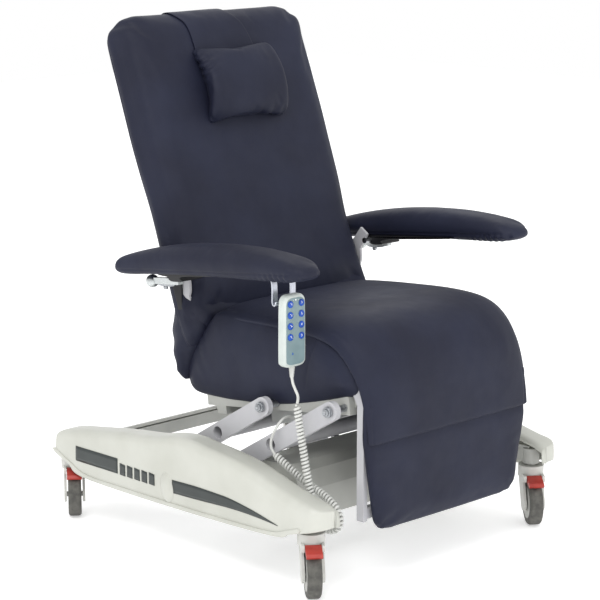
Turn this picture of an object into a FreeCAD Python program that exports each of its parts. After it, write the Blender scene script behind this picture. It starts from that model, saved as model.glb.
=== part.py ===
import FreeCAD, Part
import math
import os

import Sketcher

Vector = FreeCAD.Vector
Placement = FreeCAD.Placement
Rotation = FreeCAD.Rotation

# A patient recliner chair on four braked casters. Millimetres, +Z up.
# The sitter faces -Y, the sitter's right hand is at -X, and the origin is on the
# floor under the middle of the base's outline.

doc = FreeCAD.newDocument("patient_recliner")
sheet = doc.addObject("Spreadsheet::Sheet", "sizes")

SIZES = {
    # base and casters
    "stem_half_track": 360, "stem_front": -375, "stem_rear": 423,
    "wheel_radius": 52, "tyre_width": 31, "hub_radius": 37, "axle_radius": 6,
    "caster_trail": 30, "fork_gap": 37, "fork_leg": 6, "hood_radius": 30,
    "hood_bottom": 110, "hood_top": 136, "stem_radius": 11, "stem_top": 172,
    "rail_width": 30, "rail_height": 38, "rail_bottom": 144, "tube_wall": 3,
    "cover_inner": 330, "cover_width": 68, "cover_wall": 4, "cover_lip": 6,
    # lift linkage
    "front_low_y": -2, "front_low_z": 164.7, "rear_low_y": 205, "rear_low_z": 136.7,
    "arm_length": 420, "arm_angle": 31, "arm_depth": 42, "arm_thick": 14,
    "arm_inner": 280, "pin_radius": 8, "pin_play": 0.06,
    # seat, backrest and legrest
    "seat_tilt": 7.7, "seat_half_width": 261, "seat_rail": 25, "seat_rail_height": 40,
    "seat_rail_inner": 222, "back_tilt": 21, "back_y": 112, "back_z": 420,
    "back_front": 86, "back_rear": 12, "back_height": 776, "back_half_width": 261,
    "leg_y": -388, "leg_z": 428, "leg_pad_thick": 36, "leg_pad_width": 500,
    "leg_pad_height": 312,
    # armrests
    "armrest_y": 84, "armrest_z": 616, "armrest_slope": 6.5, "armrest_x": 336,
    "pad_width": 96,
    # handset
    "handset_x": -336, "handset_width": 64, "handset_height": 156,
    "handset_depth": 22, "handset_front": -303, "handset_bottom": 475,
    "button_radius": 6.5, "button_pitch_x": 32, "button_pitch_z": 23.5,
    # cord
    "cord_diameter": 6, "coil_diameter": 18,
}

for row, (alias, number) in enumerate(SIZES.items(), start=1):
    sheet.set(f"A{row}", alias)
    sheet.set(f"B{row}", str(number))
    sheet.setAlias(f"B{row}", alias)
doc.recompute()


class Size:
    """A number together with the sheet expression that it comes from."""

    def __init__(self, value, text=None):
        self.value = float(value)
        self.text = text if text else repr(float(value))

    def __float__(self):
        return self.value

    def _with(self, other, sign, result):
        return Size(result, f"({self.text} {sign} {as_size(other).text})")

    def __add__(self, other):
        return self._with(other, "+", self.value + float(other))

    def __sub__(self, other):
        return self._with(other, "-", self.value - float(other))

    def __mul__(self, other):
        return self._with(other, "*", self.value * float(other))

    def __truediv__(self, other):
        return self._with(other, "/", self.value / float(other))

    def __radd__(self, other):
        return as_size(other) + self

    def __rsub__(self, other):
        return as_size(other) - self

    def __rmul__(self, other):
        return as_size(other) * self

    def __neg__(self):
        return Size(-self.value, f"(-1 * {self.text})")


def as_size(number):
    return number if isinstance(number, Size) else Size(number)


S = {alias: Size(number, f"sizes.{alias}") for alias, number in SIZES.items()}


def bind(thing, prop, number):
    """Set a property and tie it to the sheet where it has an expression."""
    number = as_size(number)
    setattr(thing, prop, number.value)
    if "sizes." in number.text:
        thing.setExpression(prop, number.text)


def move(thing, x, y, z):
    """Place a primitive's origin, with each coordinate tied to the sheet."""
    thing.Placement.Base = Vector(float(x), float(y), float(z))
    for axis, number in zip("xyz", (x, y, z)):
        if "sizes." in as_size(number).text:
            thing.setExpression(f".Placement.Base.{axis}", as_size(number).text)


def block(x, y, z):
    """A box from three (low, high) pairs."""
    made = doc.addObject("Part::Box", "block")
    for prop, (low, high) in zip(("Length", "Width", "Height"), (x, y, z)):
        bind(made, prop, as_size(high) - low)
    move(made, x[0], y[0], z[0])
    return made


AXIS_TURN = {
    "x": Rotation(Vector(0, 1, 0), 90),
    "y": Rotation(Vector(1, 0, 0), -90),
    "z": Rotation(),
}


def rod(axis, radius, start, length):
    """A cylinder of this radius from a start point along +x, +y or +z."""
    made = doc.addObject("Part::Cylinder", "rod")
    bind(made, "Radius", radius)
    bind(made, "Height", length)
    made.Placement.Rotation = AXIS_TURN[axis]
    move(made, *start)
    return made


def ball(radius, x, y, z):
    made = doc.addObject("Part::Sphere", "ball")
    bind(made, "Radius", radius)
    move(made, x, y, z)
    return made


def fuse(*shapes):
    made = doc.addObject("Part::MultiFuse", "joined")
    made.Shapes = list(shapes)
    made.Refine = True
    return made


def cut(base, *tools):
    made = doc.addObject("Part::Cut", "trimmed")
    made.Base = base
    made.Tool = tools[0] if len(tools) == 1 else fuse(*tools)
    made.Refine = True
    return made


def group(*shapes):
    """Separate solids that share one node."""
    made = doc.addObject("Part::Compound", "group")
    made.Links = list(shapes)
    return made


def rounded(base, radius, chooses):
    """Fillet the edges that chooses(edge) accepts."""
    doc.recompute()
    made = doc.addObject("Part::Fillet", "rounded")
    made.Base = base
    size = float(radius)
    made.Edges = [
        (number, size, size)
        for number, edge in enumerate(base.Shape.Edges, start=1)
        if chooses(edge)
    ]
    return made


def runs_along(axis):
    """Chooses straight edges parallel to this axis."""
    way = {"x": Vector(1, 0, 0), "y": Vector(0, 1, 0), "z": Vector(0, 0, 1)}[axis]

    def chooses(edge):
        if edge.Curve.TypeId != "Part::GeomLine":
            return False
        return abs(edge.Curve.Direction.dot(way)) > 0.999

    return chooses


def origin_plane(body, role):
    return next(f for f in body.Origin.OriginFeatures if f.Role == role)


def prism(outline, width, middle=0.0, corner=0.0):
    """A body padded along X from an outline of (y, z) corners, centred on middle."""
    body = doc.addObject("PartDesign::Body", "prism")
    sketch = body.newObject("Sketcher::SketchObject", "outline")
    sketch.AttachmentSupport = [(origin_plane(body, "YZ_Plane"), "")]
    sketch.MapMode = "FlatFace"
    count = len(outline)
    flat = [Vector(float(y), float(z), 0) for y, z in outline]
    sketch.addGeometry([Part.LineSegment(flat[i], flat[(i + 1) % count]) for i in range(count)])
    for i in range(count):
        sketch.addConstraint(Sketcher.Constraint("Coincident", i, 2, (i + 1) % count, 1))
    for i, corner_point in enumerate(outline):
        for kind, number in zip(("DistanceX", "DistanceY"), corner_point):
            number = as_size(number)
            where = sketch.addConstraint(Sketcher.Constraint(kind, -1, 1, i, 1, number.value))
            if "sizes." in number.text:
                sketch.setExpression(f"Constraints[{where}]", number.text)
    pad = body.newObject("PartDesign::Pad", "pad")
    pad.Profile = sketch
    pad.SideType = "Symmetric"
    bind(pad, "Length", width)
    doc.recompute()
    if float(corner):
        edges = [
            f"Edge{n}" for n, edge in enumerate(pad.Shape.Edges, start=1) if runs_along("x")(edge)
        ]
        fillet = body.newObject("PartDesign::Fillet", "corners")
        fillet.Base = (pad, edges)
        bind(fillet, "Radius", corner)
    move(body, middle, 0, 0)
    return body


def strap(start, start_radius, end, end_radius, width, middle=0.0):
    """A flat link along X with a round end about each (y, z) centre."""
    body = doc.addObject("PartDesign::Body", "strap")
    sketch = body.newObject("Sketcher::SketchObject", "outline")
    sketch.AttachmentSupport = [(origin_plane(body, "YZ_Plane"), "")]
    sketch.MapMode = "FlatFace"
    first = Vector(float(start[0]), float(start[1]), 0)
    second = Vector(float(end[0]), float(end[1]), 0)
    small, large = float(start_radius), float(end_radius)
    way = second - first
    heading = math.atan2(way.y, way.x)
    lean = math.acos((small - large) / way.Length)
    left, right = heading + lean, heading - lean
    up = Vector(0, 0, 1)

    def at(centre, radius, angle):
        return centre + Vector(radius * math.cos(angle), radius * math.sin(angle), 0)

    sketch.addGeometry([
        Part.ArcOfCircle(Part.Circle(first, up, small), left, right + 2 * math.pi),
        Part.LineSegment(at(first, small, right), at(second, large, right)),
        Part.ArcOfCircle(Part.Circle(second, up, large), right, left),
        Part.LineSegment(at(second, large, left), at(first, small, left)),
    ])
    for one, end_one, two, end_two in ((0, 2, 1, 1), (1, 2, 2, 1), (2, 2, 3, 1), (3, 2, 0, 1)):
        sketch.addConstraint(Sketcher.Constraint("Tangent", one, end_one, two, end_two))
    for geometry, centre, radius in ((0, start, start_radius), (2, end, end_radius)):
        for kind, number in zip(("DistanceX", "DistanceY"), centre):
            number = as_size(number)
            where = sketch.addConstraint(
                Sketcher.Constraint(kind, -1, 1, geometry, 3, number.value))
            if "sizes." in number.text:
                sketch.setExpression(f"Constraints[{where}]", number.text)
        radius = as_size(radius)
        where = sketch.addConstraint(Sketcher.Constraint("Radius", geometry, radius.value))
        if "sizes." in radius.text:
            sketch.setExpression(f"Constraints[{where}]", radius.text)
    pad = body.newObject("PartDesign::Pad", "pad")
    pad.Profile = sketch
    pad.SideType = "Symmetric"
    bind(pad, "Length", width)
    move(body, middle, 0, 0)
    return body


def box_tube(x, y, z, along):
    """A square-section tube, open at both ends along this axis."""
    wall = S["tube_wall"]
    spans = {"x": x, "y": y, "z": z}
    inner = {}
    for axis, (low, high) in spans.items():
        if axis == along:
            inner[axis] = (as_size(low) - 1, as_size(high) + 1)
        else:
            inner[axis] = (as_size(low) + wall, as_size(high) - wall)
    return cut(block(x, y, z), block(inner["x"], inner["y"], inner["z"]))


nodes = {}


def keep(label, thing, frame=None):
    """Name a finished sub-part and put it in its place."""
    doc.recompute()
    if frame is not None:
        thing.Placement = frame.multiply(thing.Placement)
    thing.Label = label
    nodes[label] = thing
    return thing


def on_side(side, low, high):
    """An (x low, x high) pair, mirrored for the -X side."""
    return (as_size(low), as_size(high)) if side > 0 else (-as_size(high), -as_size(low))


def turned(x, y, z, angle):
    """A frame at this point, turned about X."""
    return Placement(Vector(x, float(y), float(z)), Rotation(Vector(1, 0, 0), float(angle)))


# ------------------------------------------------------------------ lift linkage points
arm_rise = math.radians(float(S["arm_angle"]))
reach = float(S["arm_length"]) * math.cos(arm_rise)
rise = float(S["arm_length"]) * math.sin(arm_rise)
front_top = (float(S["front_low_y"]) - reach, float(S["front_low_z"]) + rise)
rear_top = (float(S["rear_low_y"]) - reach, float(S["rear_low_z"]) + rise)

seat_place = turned(0, front_top[0], front_top[1], -S["seat_tilt"])
back_place = turned(0, S["back_y"], S["back_z"], -S["back_tilt"])


def seat_point(y, z):
    """A (y, z) point of the chair's frame in the seat's tilted frame."""
    local = seat_place.inverse().multVec(Vector(0, float(y), float(z)))
    return (local.y, local.z)


# ------------------------------------------------------------------ chassis
def make_chassis():
    rail_low = S["rail_bottom"]
    rail_high = rail_low + S["rail_height"]
    track = S["stem_half_track"]
    half = S["rail_width"] / 2
    pieces = []
    bores = []
    for side in (-1, 1):
        pieces.append(box_tube(on_side(side, track - half, track + half),
                               (-380, 440), (rail_low, rail_high), "y"))
        for stem in ("stem_front", "stem_rear"):
            centre = track if side > 0 else -track
            pieces.append(rod("z", 19, (centre, S[stem], 140), 36))
            bores.append(rod("z", S["stem_radius"] + 0.05, (centre, S[stem], 130), 60))
        for y, z in ((S["front_low_y"], S["front_low_z"]), (S["rear_low_y"], S["rear_low_z"])):
            pieces.append(block(on_side(side, 312, track - half), (y - 25, y + 25),
                                (rail_low, rail_high)))
            middle = 308 if side > 0 else -308
            pieces.append(strap((y, rail_high - 22), 22, (y, z - 0.5), 19, 8, middle))
            low = 300 if side > 0 else -320
            bores.append(rod("x", S["pin_radius"], (low, y, z), 20))
    span = (-track + half, track - half)
    pieces.append(box_tube(span, (-250, -220), (rail_low, rail_low + 30), "x"))
    pieces.append(box_tube(span, (392, 422), (rail_low, rail_low + 30), "x"))
    return cut(fuse(*pieces), *bores)


keep("chassis_frame", make_chassis())


def make_base_pins():
    pins = []
    for side in (-1, 1):
        for y, z in ((S["front_low_y"], S["front_low_z"]), (S["rear_low_y"], S["rear_low_z"])):
            low, high = on_side(side, 279, 312)
            shank = rod("x", S["pin_radius"], (low, y, z), high - low)
            head_low, head_high = on_side(side, 273, 279)
            head = rod("x", S["pin_radius"] + 5, (head_low, y, z), head_high - head_low)
            pins.append(fuse(shank, head))
    return group(*pins)


keep("base_pins", make_base_pins())

# Side covers: a moulded trough over each rail, open below and on its inner side.
COVER_TOP = [(454, 193), (415, 209), (213, 240), (108, 252), (10, 269), (-40, 267), (-177, 249),
             (-320, 210), (-385, 192), (-424, 166)]
COVER_FOOT = [(-431, 152), (-348, 131), (-293, 115), (3, 106), (330, 105), (393, 124), (454, 146)]


def make_cover(side):
    inner, width, wall = S["cover_inner"], S["cover_width"], S["cover_wall"]
    middle = inner + width / 2
    sign = 1 if side > 0 else -1
    shell = prism(COVER_TOP + COVER_FOOT, width, middle * sign)
    hollow = [(y - 4 if y > 0 else y + 4, z - 4) for y, z in COVER_TOP] + [(-420, 90), (450, 90)]
    pocket = prism(hollow, width, (middle - wall) * sign)
    lip_top = [(454, 160), (-60, 148), (-431, 163)]
    lip_low = inner + width
    lip = prism(lip_top + COVER_FOOT, S["cover_lip"], (lip_low + S["cover_lip"] / 2) * sign)
    return fuse(cut(shell, pocket), lip)


keep("side_cover_right", make_cover(-1))
keep("side_cover_left", make_cover(1))


def make_cross_covers():
    wall = S["cover_wall"]
    front = [(-262, 112), (-256, 176), (-240, 214), (-214, 228), (-120, 228), (-120, 112)]
    hollow = [(-257, 100), (-251, 176), (-236, 210), (-212, 223), (-110, 223), (-110, 100)]
    rear = [(388, 128), (388, 186), (434, 172), (446, 160), (446, 128)]
    rear_hollow = [(380, 120), (380, 181), (431, 167), (441, 157), (441, 120)]
    return group(
        cut(prism(front, 554), prism(hollow, as_size(554) - wall * 2)),
        cut(prism(rear, 648), prism(rear_hollow, as_size(700))),
    )


keep("cross_covers", make_cross_covers())


# ------------------------------------------------------------------ casters
TRAIL_ANGLE = math.degrees(math.atan2(-0.617, 0.787))
CORNERS = {
    "front_right": (-1, "stem_front"), "front_left": (1, "stem_front"),
    "rear_right": (-1, "stem_rear"), "rear_left": (1, "stem_rear"),
}


def caster_place(side, stem):
    """The caster's own frame: the wheel trails along local -Y."""
    x = side * float(S["stem_half_track"])
    return Placement(Vector(x, float(S[stem]), 0), Rotation(Vector(0, 0, 1), TRAIL_ANGLE))


def make_fork():
    trail, radius = S["caster_trail"], S["wheel_radius"]
    offset = S["fork_gap"] / 2 + S["fork_leg"] / 2
    pieces = [
        rod("z", S["hood_radius"], (0, 0, S["hood_bottom"]), S["hood_top"] - S["hood_bottom"]),
        rod("z", S["stem_radius"], (0, 0, 120), S["stem_top"] - 120),
    ]
    for side in (-1, 1):
        pieces.append(strap((2, 112), 20, (-trail, radius), 19, S["fork_leg"], offset * side))
        ear = on_side(side, S["fork_gap"] / 2, S["fork_gap"] / 2 + S["fork_leg"])
        pieces.append(block(ear, (-43, -14), (104, 118)))
    pieces.append(rod("x", 2, (-20, -38, 110.5), 40))
    axle_length = S["fork_gap"] + 2
    axle_start = -(axle_length / 2)
    pieces.append(rod("x", S["axle_radius"], (axle_start, -trail, radius), axle_length))
    return fuse(*pieces)


def make_tyre():
    trail, radius = S["caster_trail"], S["wheel_radius"]
    start = -(S["tyre_width"] / 2)
    ring = cut(
        rod("x", radius, (start, -trail, radius), S["tyre_width"]),
        rod("x", S["hub_radius"], (start - 1, -trail, radius), S["tyre_width"] + 2),
    )

    def outer_edge(edge):
        return abs(edge.Curve.Radius - float(radius)) < 0.1 if hasattr(edge.Curve, "Radius") else False

    return rounded(ring, 7, outer_edge)


def make_hub():
    trail, radius = S["caster_trail"], S["wheel_radius"]
    start = -(S["tyre_width"] / 2)
    return cut(
        rod("x", S["hub_radius"], (start, -trail, radius), S["tyre_width"]),
        rod("x", S["axle_radius"] + S["pin_play"], (start - 1, -trail, radius), S["tyre_width"] + 2),
    )


def make_pedal():
    """The brake pedal turns on a cross pin behind the hood, over the tyre."""
    plate = prism([(-33.5, 117), (-66, 107), (-71, 101), (-66, 96.5), (-33.5, 106)], 35)
    return cut(plate, rod("x", 2.05, (-30, -38, 110.5), 60))


for corner, (side, stem) in CORNERS.items():
    place = caster_place(side, stem)
    keep(f"fork_{corner}", make_fork(), place)
    keep(f"tyre_{corner}", make_tyre(), place)
    keep(f"hub_{corner}", make_hub(), place)
    keep(f"brake_pedal_{corner}", make_pedal(), place)


# ------------------------------------------------------------------ lift arms
def make_arms(low, high, tube_share, tube_radius):
    """A pair of link bars joined by a cross tube."""
    thick, depth = S["arm_thick"], S["arm_depth"]
    bore = S["pin_radius"] + S["pin_play"]
    tube_y = low[0] + (high[0] - low[0]) * tube_share
    tube_z = low[1] + (high[1] - low[1]) * tube_share
    inner = S["arm_inner"]
    pieces = [rod("x", tube_radius, (-inner - 1, tube_y, tube_z), inner * 2 + 2)]
    bores = [rod("x", tube_radius - S["tube_wall"], (-330, tube_y, tube_z), 660)]
    for side in (-1, 1):
        pieces.append(strap(low, depth / 2, high, depth / 2, thick, (inner + thick / 2) * side))
    for y, z in (low, high):
        bores.append(rod("x", bore, (-330, y, z), 660))
    return cut(fuse(*pieces), *bores)


front_low = (float(S["front_low_y"]), float(S["front_low_z"]))
rear_low = (float(S["rear_low_y"]), float(S["rear_low_z"]))
LEVER = 85.0
LIFT_TRAVEL = 28.0
LIFT_FOOT = (-216.0, 159.0)


def lever_tip(hinge, foot, length, travel, side):
    """The rest (y, z) of a lever's tip that stands square to its actuator at mid travel."""
    line = math.atan2(hinge[1] - foot[1], hinge[0] - foot[0])
    for _ in range(20):
        angle = line + side * math.pi / 2 + math.radians(travel) / 2
        tip = (hinge[0] + length * math.cos(angle), hinge[1] + length * math.sin(angle))
        line = math.atan2(tip[1] - foot[1], tip[0] - foot[0])
    return tip


lift_tip = lever_tip(front_low, LIFT_FOOT, LEVER, LIFT_TRAVEL, 1)


def make_front_arms():
    arms = make_arms(front_low, front_top, 0.5, 17)
    shaft = cut(rod("x", 15, (-281, *front_low), 562),
                rod("x", S["pin_radius"] + S["pin_play"], (-290, *front_low), 580))
    ears = [strap(front_low, 17, lift_tip, 11, 5, middle) for middle in (-17, 17)]
    hole = rod("x", S["pin_radius"] + S["pin_play"], (-290, *front_low), 580)
    head_rooms = [rod("x", S["pin_radius"] + 5.4, (start, *front_low), 7.7)
                  for start in (-280, 272.3)]
    return cut(fuse(arms, shaft, *ears), hole, *head_rooms)


keep("front_lift_arms", make_front_arms())
keep("rear_lift_arms", make_arms(rear_low, rear_top, 0.6, 17))


def actuator(foot, tip, motor_side):
    """The housing and the rod of an electric actuator, in a frame with +Y along it."""
    length = math.hypot(tip[0] - foot[0], tip[1] - foot[1])
    body_end = length * 0.62
    body = fuse(
        rod("y", 15, (0, 34, 0), body_end - 34),
        block((-21, 21), (0, 60), (-21, 21)),
        rod("x", 19, (21 if motor_side > 0 else -71, 34, 0), 50),
    )
    bore = rod("y", 8.06, (0, 40, 0), length)
    plunger = fuse(
        rod("y", 8, (0, body_end * 0.5, 0), length - 4 - body_end * 0.5),
        rod("x", 11, (-10, length, 0), 20),
    )
    frame = turned(0, foot[0], foot[1], math.degrees(math.atan2(tip[1] - foot[1], tip[0] - foot[0])))
    return cut(body, bore), plunger, frame


housing, plunger, place = actuator(LIFT_FOOT, lift_tip, 1)
keep("lift_motor", housing, place)
keep("lift_rod", plunger, place)

# ------------------------------------------------------------------ seat
BACK_HINGE = seat_point(S["back_y"], S["back_z"])
LEG_HINGE = seat_point(S["leg_y"], S["leg_z"])
REAR_PIVOT = seat_point(*rear_top)
ARMREST_PIVOT = seat_point(S["armrest_y"], S["armrest_z"])


def make_seat_frame():
    inner, wide = S["seat_rail_inner"], S["seat_rail"]
    pieces = []
    bores = []
    for side in (-1, 1):
        rail = on_side(side, inner, inner + wide)
        pieces.append(block(rail, (-14, 440), (-16, 24)))
        ear = (inner + 4) * side
        pieces.append(strap((430, 4), 20, BACK_HINGE, 17, 8, ear))
        pieces.append(strap((6, 4), 20, LEG_HINGE, 14, 8, ear))
        for point in (BACK_HINGE, LEG_HINGE, (0, 0), REAR_PIVOT):
            low, high = on_side(side, inner - 10, inner + wide + 10)
            bores.append(rod("x", S["pin_radius"], (low, *point), high - low))
    cross = (-inner, inner)
    pieces.append(block(cross, (60, 90), (4, 24)))
    pieces.append(block(cross, (380, 410), (-34, -16)))
    pieces.append(block((50, 90), (60, 102), (-60, 5)))
    pieces.append(block((-20, 20), (376, 400), (-38, -10)))
    for side in (-1, 1):
        pieces.append(block(on_side(side, inner, inner + wide), (380, 410), (-34, -14)))
    return cut(fuse(*pieces), *bores)


keep("seat_frame", make_seat_frame(), seat_place)


def make_seat_pins():
    pins = []
    outer = S["seat_rail_inner"] + S["seat_rail"]
    for side in (-1, 1):
        for point in ((0, 0), REAR_PIVOT):
            low, high = on_side(side, S["seat_rail_inner"], 297)
            head_low, head_high = on_side(side, 297, 302)
            pins.append(fuse(rod("x", S["pin_radius"], (low, *point), high - low),
                             rod("x", S["pin_radius"] + 4, (head_low, *point), head_high - head_low)))
        for point in (BACK_HINGE, LEG_HINGE):
            low, high = on_side(side, S["seat_rail_inner"] - 4, outer - 2)
            pins.append(rod("x", S["pin_radius"], (low, *point), high - low))
        low, high = on_side(side, 272, 297)
        pins.append(rod("x", S["pin_radius"] - 1, (low, *ARMREST_PIVOT), high - low))
    return group(*pins)


keep("seat_pins", make_seat_pins(), seat_place)


def make_arm_brackets():
    brackets = []
    for side in (-1, 1):
        upper = prism([seat_point(y, z) for y, z in ((64, 636), (46, 590), (22, 546), (22, 536),
                                                     (50, 536), (60, 566), (104, 636))],
                      6, 275 * side)
        joggle = prism([seat_point(y, z) for y, z in ((22, 536), (22, 546), (50, 546), (50, 536))],
                       24, 266 * side)
        lower = prism([seat_point(y, z) for y, z in ((12, 330), (12, 546), (50, 546), (50, 330))],
                      6, 254 * side)
        foot = block(on_side(side, 247, 251), (380, 415), (-14, 20))
        low = 260 if side > 0 else -290
        bore = rod("x", S["pin_radius"] - 1, (low, *ARMREST_PIVOT), 30)
        brackets.append(cut(fuse(upper, joggle, lower, foot), bore))
    return group(*brackets)


keep("arm_brackets", make_arm_brackets(), seat_place)

# Seat cushion outline in the seat's frame, clear of the swing of the legrest's top
# end at the front and of the backrest's foot at the rear.
SEAT_OUTLINE = [(-40, 118), (-52, 138), (-36, 166), (20, 180), (378, 168), (408, 138), (432, 108),
                (440, 70), (438, 12), (40, 12), (28, 40), (20, 92), (-8, 112)]


def make_seat_cushion():
    block_of_foam = prism(SEAT_OUTLINE, S["seat_half_width"] * 2)
    pan = block((-250, 250), (0, 460), (0, 27))
    hinge_room = block((-250, 250), (405, 470), (20, 130))
    slots = []
    for side in (-1, 1):
        outline = [seat_point(y, z) for y, z in ((11, 325), (11, 560), (51, 560), (51, 325))]
        slots.append(prism(outline, 9, 254 * side))
        top = [seat_point(y, z) for y, z in ((11, 533), (11, 560), (51, 560), (51, 533))]
        slots.append(prism(top, 18, 259 * side))
    leg_room = block((-250, 250), (0, 46), (20, 60))
    return cut(block_of_foam, pan, hinge_room, leg_room, *slots)


keep("seat_cushion", make_seat_cushion(), seat_place)

keep("control_box",
     fuse(block((-212, -96), (140, 270), (-52, -10)), rod("x", 7, (-222, 152, -36), 12),
          block((-212, -96), (60, 142), (-16, -6)), block((-180, -128), (60, 90), (-12, 4))),
     seat_place)

BACK_LEVER = 85.0
BACK_TRAVEL = 60.0
BACK_FOOT = (100.0, -42.0)
LEG_LEVER = 75.0
LEG_TRAVEL = 80.0
LEG_FOOT = (378.0, -26.0)

back_tip = lever_tip(BACK_HINGE, BACK_FOOT, BACK_LEVER, BACK_TRAVEL, -1)
leg_tip = lever_tip(LEG_HINGE, LEG_FOOT, LEG_LEVER, LEG_TRAVEL, 1)

for name, foot, tip, shift, motor_side in (("back", BACK_FOOT, back_tip, 70, 1),
                                           ("leg", LEG_FOOT, leg_tip, 0, -1)):
    housing, plunger, place = actuator(foot, tip, motor_side)
    place.Base.x = shift
    for label, thing in ((f"{name}_motor", housing), (f"{name}_rod", plunger)):
        keep(label, thing, seat_place.multiply(place))

# ------------------------------------------------------------------ backrest
def back_point(y, z):
    local = back_place.inverse().multVec(Vector(0, float(y), float(z)))
    return (local.y, local.z)


def lever_in(place, tip):
    """A seat-frame tip in another body's own frame."""
    world = seat_place.multVec(Vector(0, tip[0], tip[1]))
    local = place.inverse().multVec(world)
    return (local.y, local.z)


def make_back_frame():
    bore = S["pin_radius"] + S["pin_play"]
    pieces = []
    bores = []
    for side in (-1, 1):
        tube = on_side(side, 232, 244)
        pieces.append(block(tube, (-11, 11), (0, 700)))
        pieces.append(rod("x", 16, (tube[0], 0, 0), 12))
        low, high = on_side(side, 225, 250)
        bores.append(rod("x", bore, (low, 0, 0), high - low))
    for foot in (130, 400, 676):
        pieces.append(block((-233, 233), (-9, 9), (foot, foot + 24)))
    tip = lever_in(back_place, back_tip)
    for middle in (70 - 14, 70 + 14):
        pieces.append(strap((0, 140), 12, tip, 10, 6, middle))
    return cut(fuse(*pieces), *bores)


keep("back_frame", make_back_frame(), back_place)

BACK_OUTLINE = [(-86, 72), (-62, 40), (-30, 22), (12, 14), (12, 700), (6, 752), (-16, 776),
                (-52, 776), (-76, 758), (-86, 726)]


def make_back_cushion():
    foam = prism(BACK_OUTLINE, S["back_half_width"] * 2)
    pocket = block((-248, 248), (-14, 40), (-10, 704))
    return cut(foam, pocket)


keep("back_cushion", make_back_cushion(), back_place)


def make_head_strap():
    """A band over the top of the backrest that holds the head pillow."""
    outside = [(-89, 620), (-89, 728), (-78, 761), (-53, 779), (-15, 779), (9, 754), (15, 700),
               (15, 560), (13, 560), (13, 700), (7, 753), (-16, 777), (-52, 777), (-76.6, 759),
               (-87, 727), (-87, 620)]
    return prism(outside, 170, -18)


keep("head_strap", make_head_strap(), back_place)

PILLOW = [(-91, 500), (-91, 672), (-112, 678), (-140, 650), (-152, 590), (-142, 525), (-114, 496)]
keep("head_pillow", prism(PILLOW, 250, -6), back_place)

# ------------------------------------------------------------------ legrest
leg_place = turned(0, S["leg_y"], S["leg_z"], 0)


def make_leg_frame():
    bore = S["pin_radius"] + S["pin_play"]
    pieces = []
    bores = []
    for side in (-1, 1):
        bar = on_side(side, 232, 244)
        pieces.append(strap((0, 0), 13, (-16, -30), 11, 12, 238 * side))
        pieces.append(block(bar, (-27, -7), (-290, -24)))
        low, high = on_side(side, 225, 250)
        bores.append(rod("x", bore, (low, 0, 0), high - low))
    for foot in (-120, -285):
        pieces.append(block((-233, 233), (-25, -9), (foot, foot + 24)))
    tip = lever_in(leg_place, leg_tip)
    for middle in (-14, 14):
        pieces.append(strap((-15.5, -108), 11, tip, 10, 6, middle))
    return cut(fuse(*pieces), *bores)


keep("leg_frame", make_leg_frame(), leg_place)


def make_leg_cushion():
    front = -27 - S["leg_pad_thick"]
    low = -S["leg_pad_height"]
    outline = [(-27.0, -4), (-27.0, low + 6), (front + 12, low), (front, low + 14),
               (front, -30), (front + 14, -4)]
    return prism(outline, S["leg_pad_width"])


keep("leg_cushion", make_leg_cushion(), leg_place)

# ------------------------------------------------------------------ armrests
arm_place = {
    side: turned(side * float(S["armrest_x"]), S["armrest_y"], S["armrest_z"], -S["armrest_slope"])
    for side in (-1, 1)
}
PAD_OUTLINE = [(182, 6), (184, 22), (152, 49), (39, 65), (-146, 75), (-303, 67), (-408, 47),
               (-452, 22), (-440, 8), (-400, 3), (-309, 5), (-120, 13), (40, 11), (120, 6)]
SIDE_NAME = {-1: "right", 1: "left"}


def make_arm_plate(side):
    """The flat bar under the pad, with the pivot lug on its inner edge."""
    half = float(S["armrest_x"])
    lug_middle = (291 - half) * side
    lug = strap((0, 0), 14, (-30, -2), 12, 6, lug_middle)
    arch = [(-330, -2), (-330, 3.2), (-309, 4.6), (-120, 12.6), (40, 10.6), (110, 6), (110, -1),
            (40, 4), (-120, 6), (-300, -2)]
    bar = prism(arch, 34)
    web_low, web_high = sorted(((294 - half) * side, -12 * side))
    web = block((web_low, web_high), (-60, -24), (2, 8))
    stop = block((-13, 13), (-78, -22), (-16, 8))
    low = (282 - half) * side if side > 0 else (300 - half) * side
    bore = rod("x", float(S["pin_radius"]) - 1 + float(S["pin_play"]), (low, 0, 0), 18)
    lug_join = block(sorted(((288 - half) * side, (296 - half) * side)), (-52, -28), (-8, 8))
    guide = block((-9, 9), (-12, 20), (-24, 7))
    slot = block((-7.1, 7.1), (-30, 40), (-20.1, -5.9))
    return cut(fuse(bar, web, stop, lug, lug_join, guide), bore, slot)


def make_plunger():
    """A square bar that the ball pulls back against its spring."""
    bar = block((-7, 7), (-21.5, 62), (-20, -6))
    return fuse(bar, ball(15, 0, 74, -14.5))


for side, name in SIDE_NAME.items():
    keep(f"arm_pad_{name}", prism(PAD_OUTLINE, S["pad_width"]), arm_place[side])
    keep(f"arm_plate_{name}", make_arm_plate(side), arm_place[side])
    keep(f"arm_plunger_{name}", make_plunger(), arm_place[side])

# ------------------------------------------------------------------ handset and its hook
HOOK_SPREAD = 26.5
hand_x, hand_front = S["handset_x"], S["handset_front"]
hand_back = hand_front + S["handset_depth"]
hand_low = S["handset_bottom"]
hand_high = hand_low + S["handset_height"]


def button_spots():
    for row in range(4):
        for side in (-0.5, 0.5):
            yield (hand_x + S["button_pitch_x"] * side,
                   hand_high - 19 - S["button_pitch_z"] * row)


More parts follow.
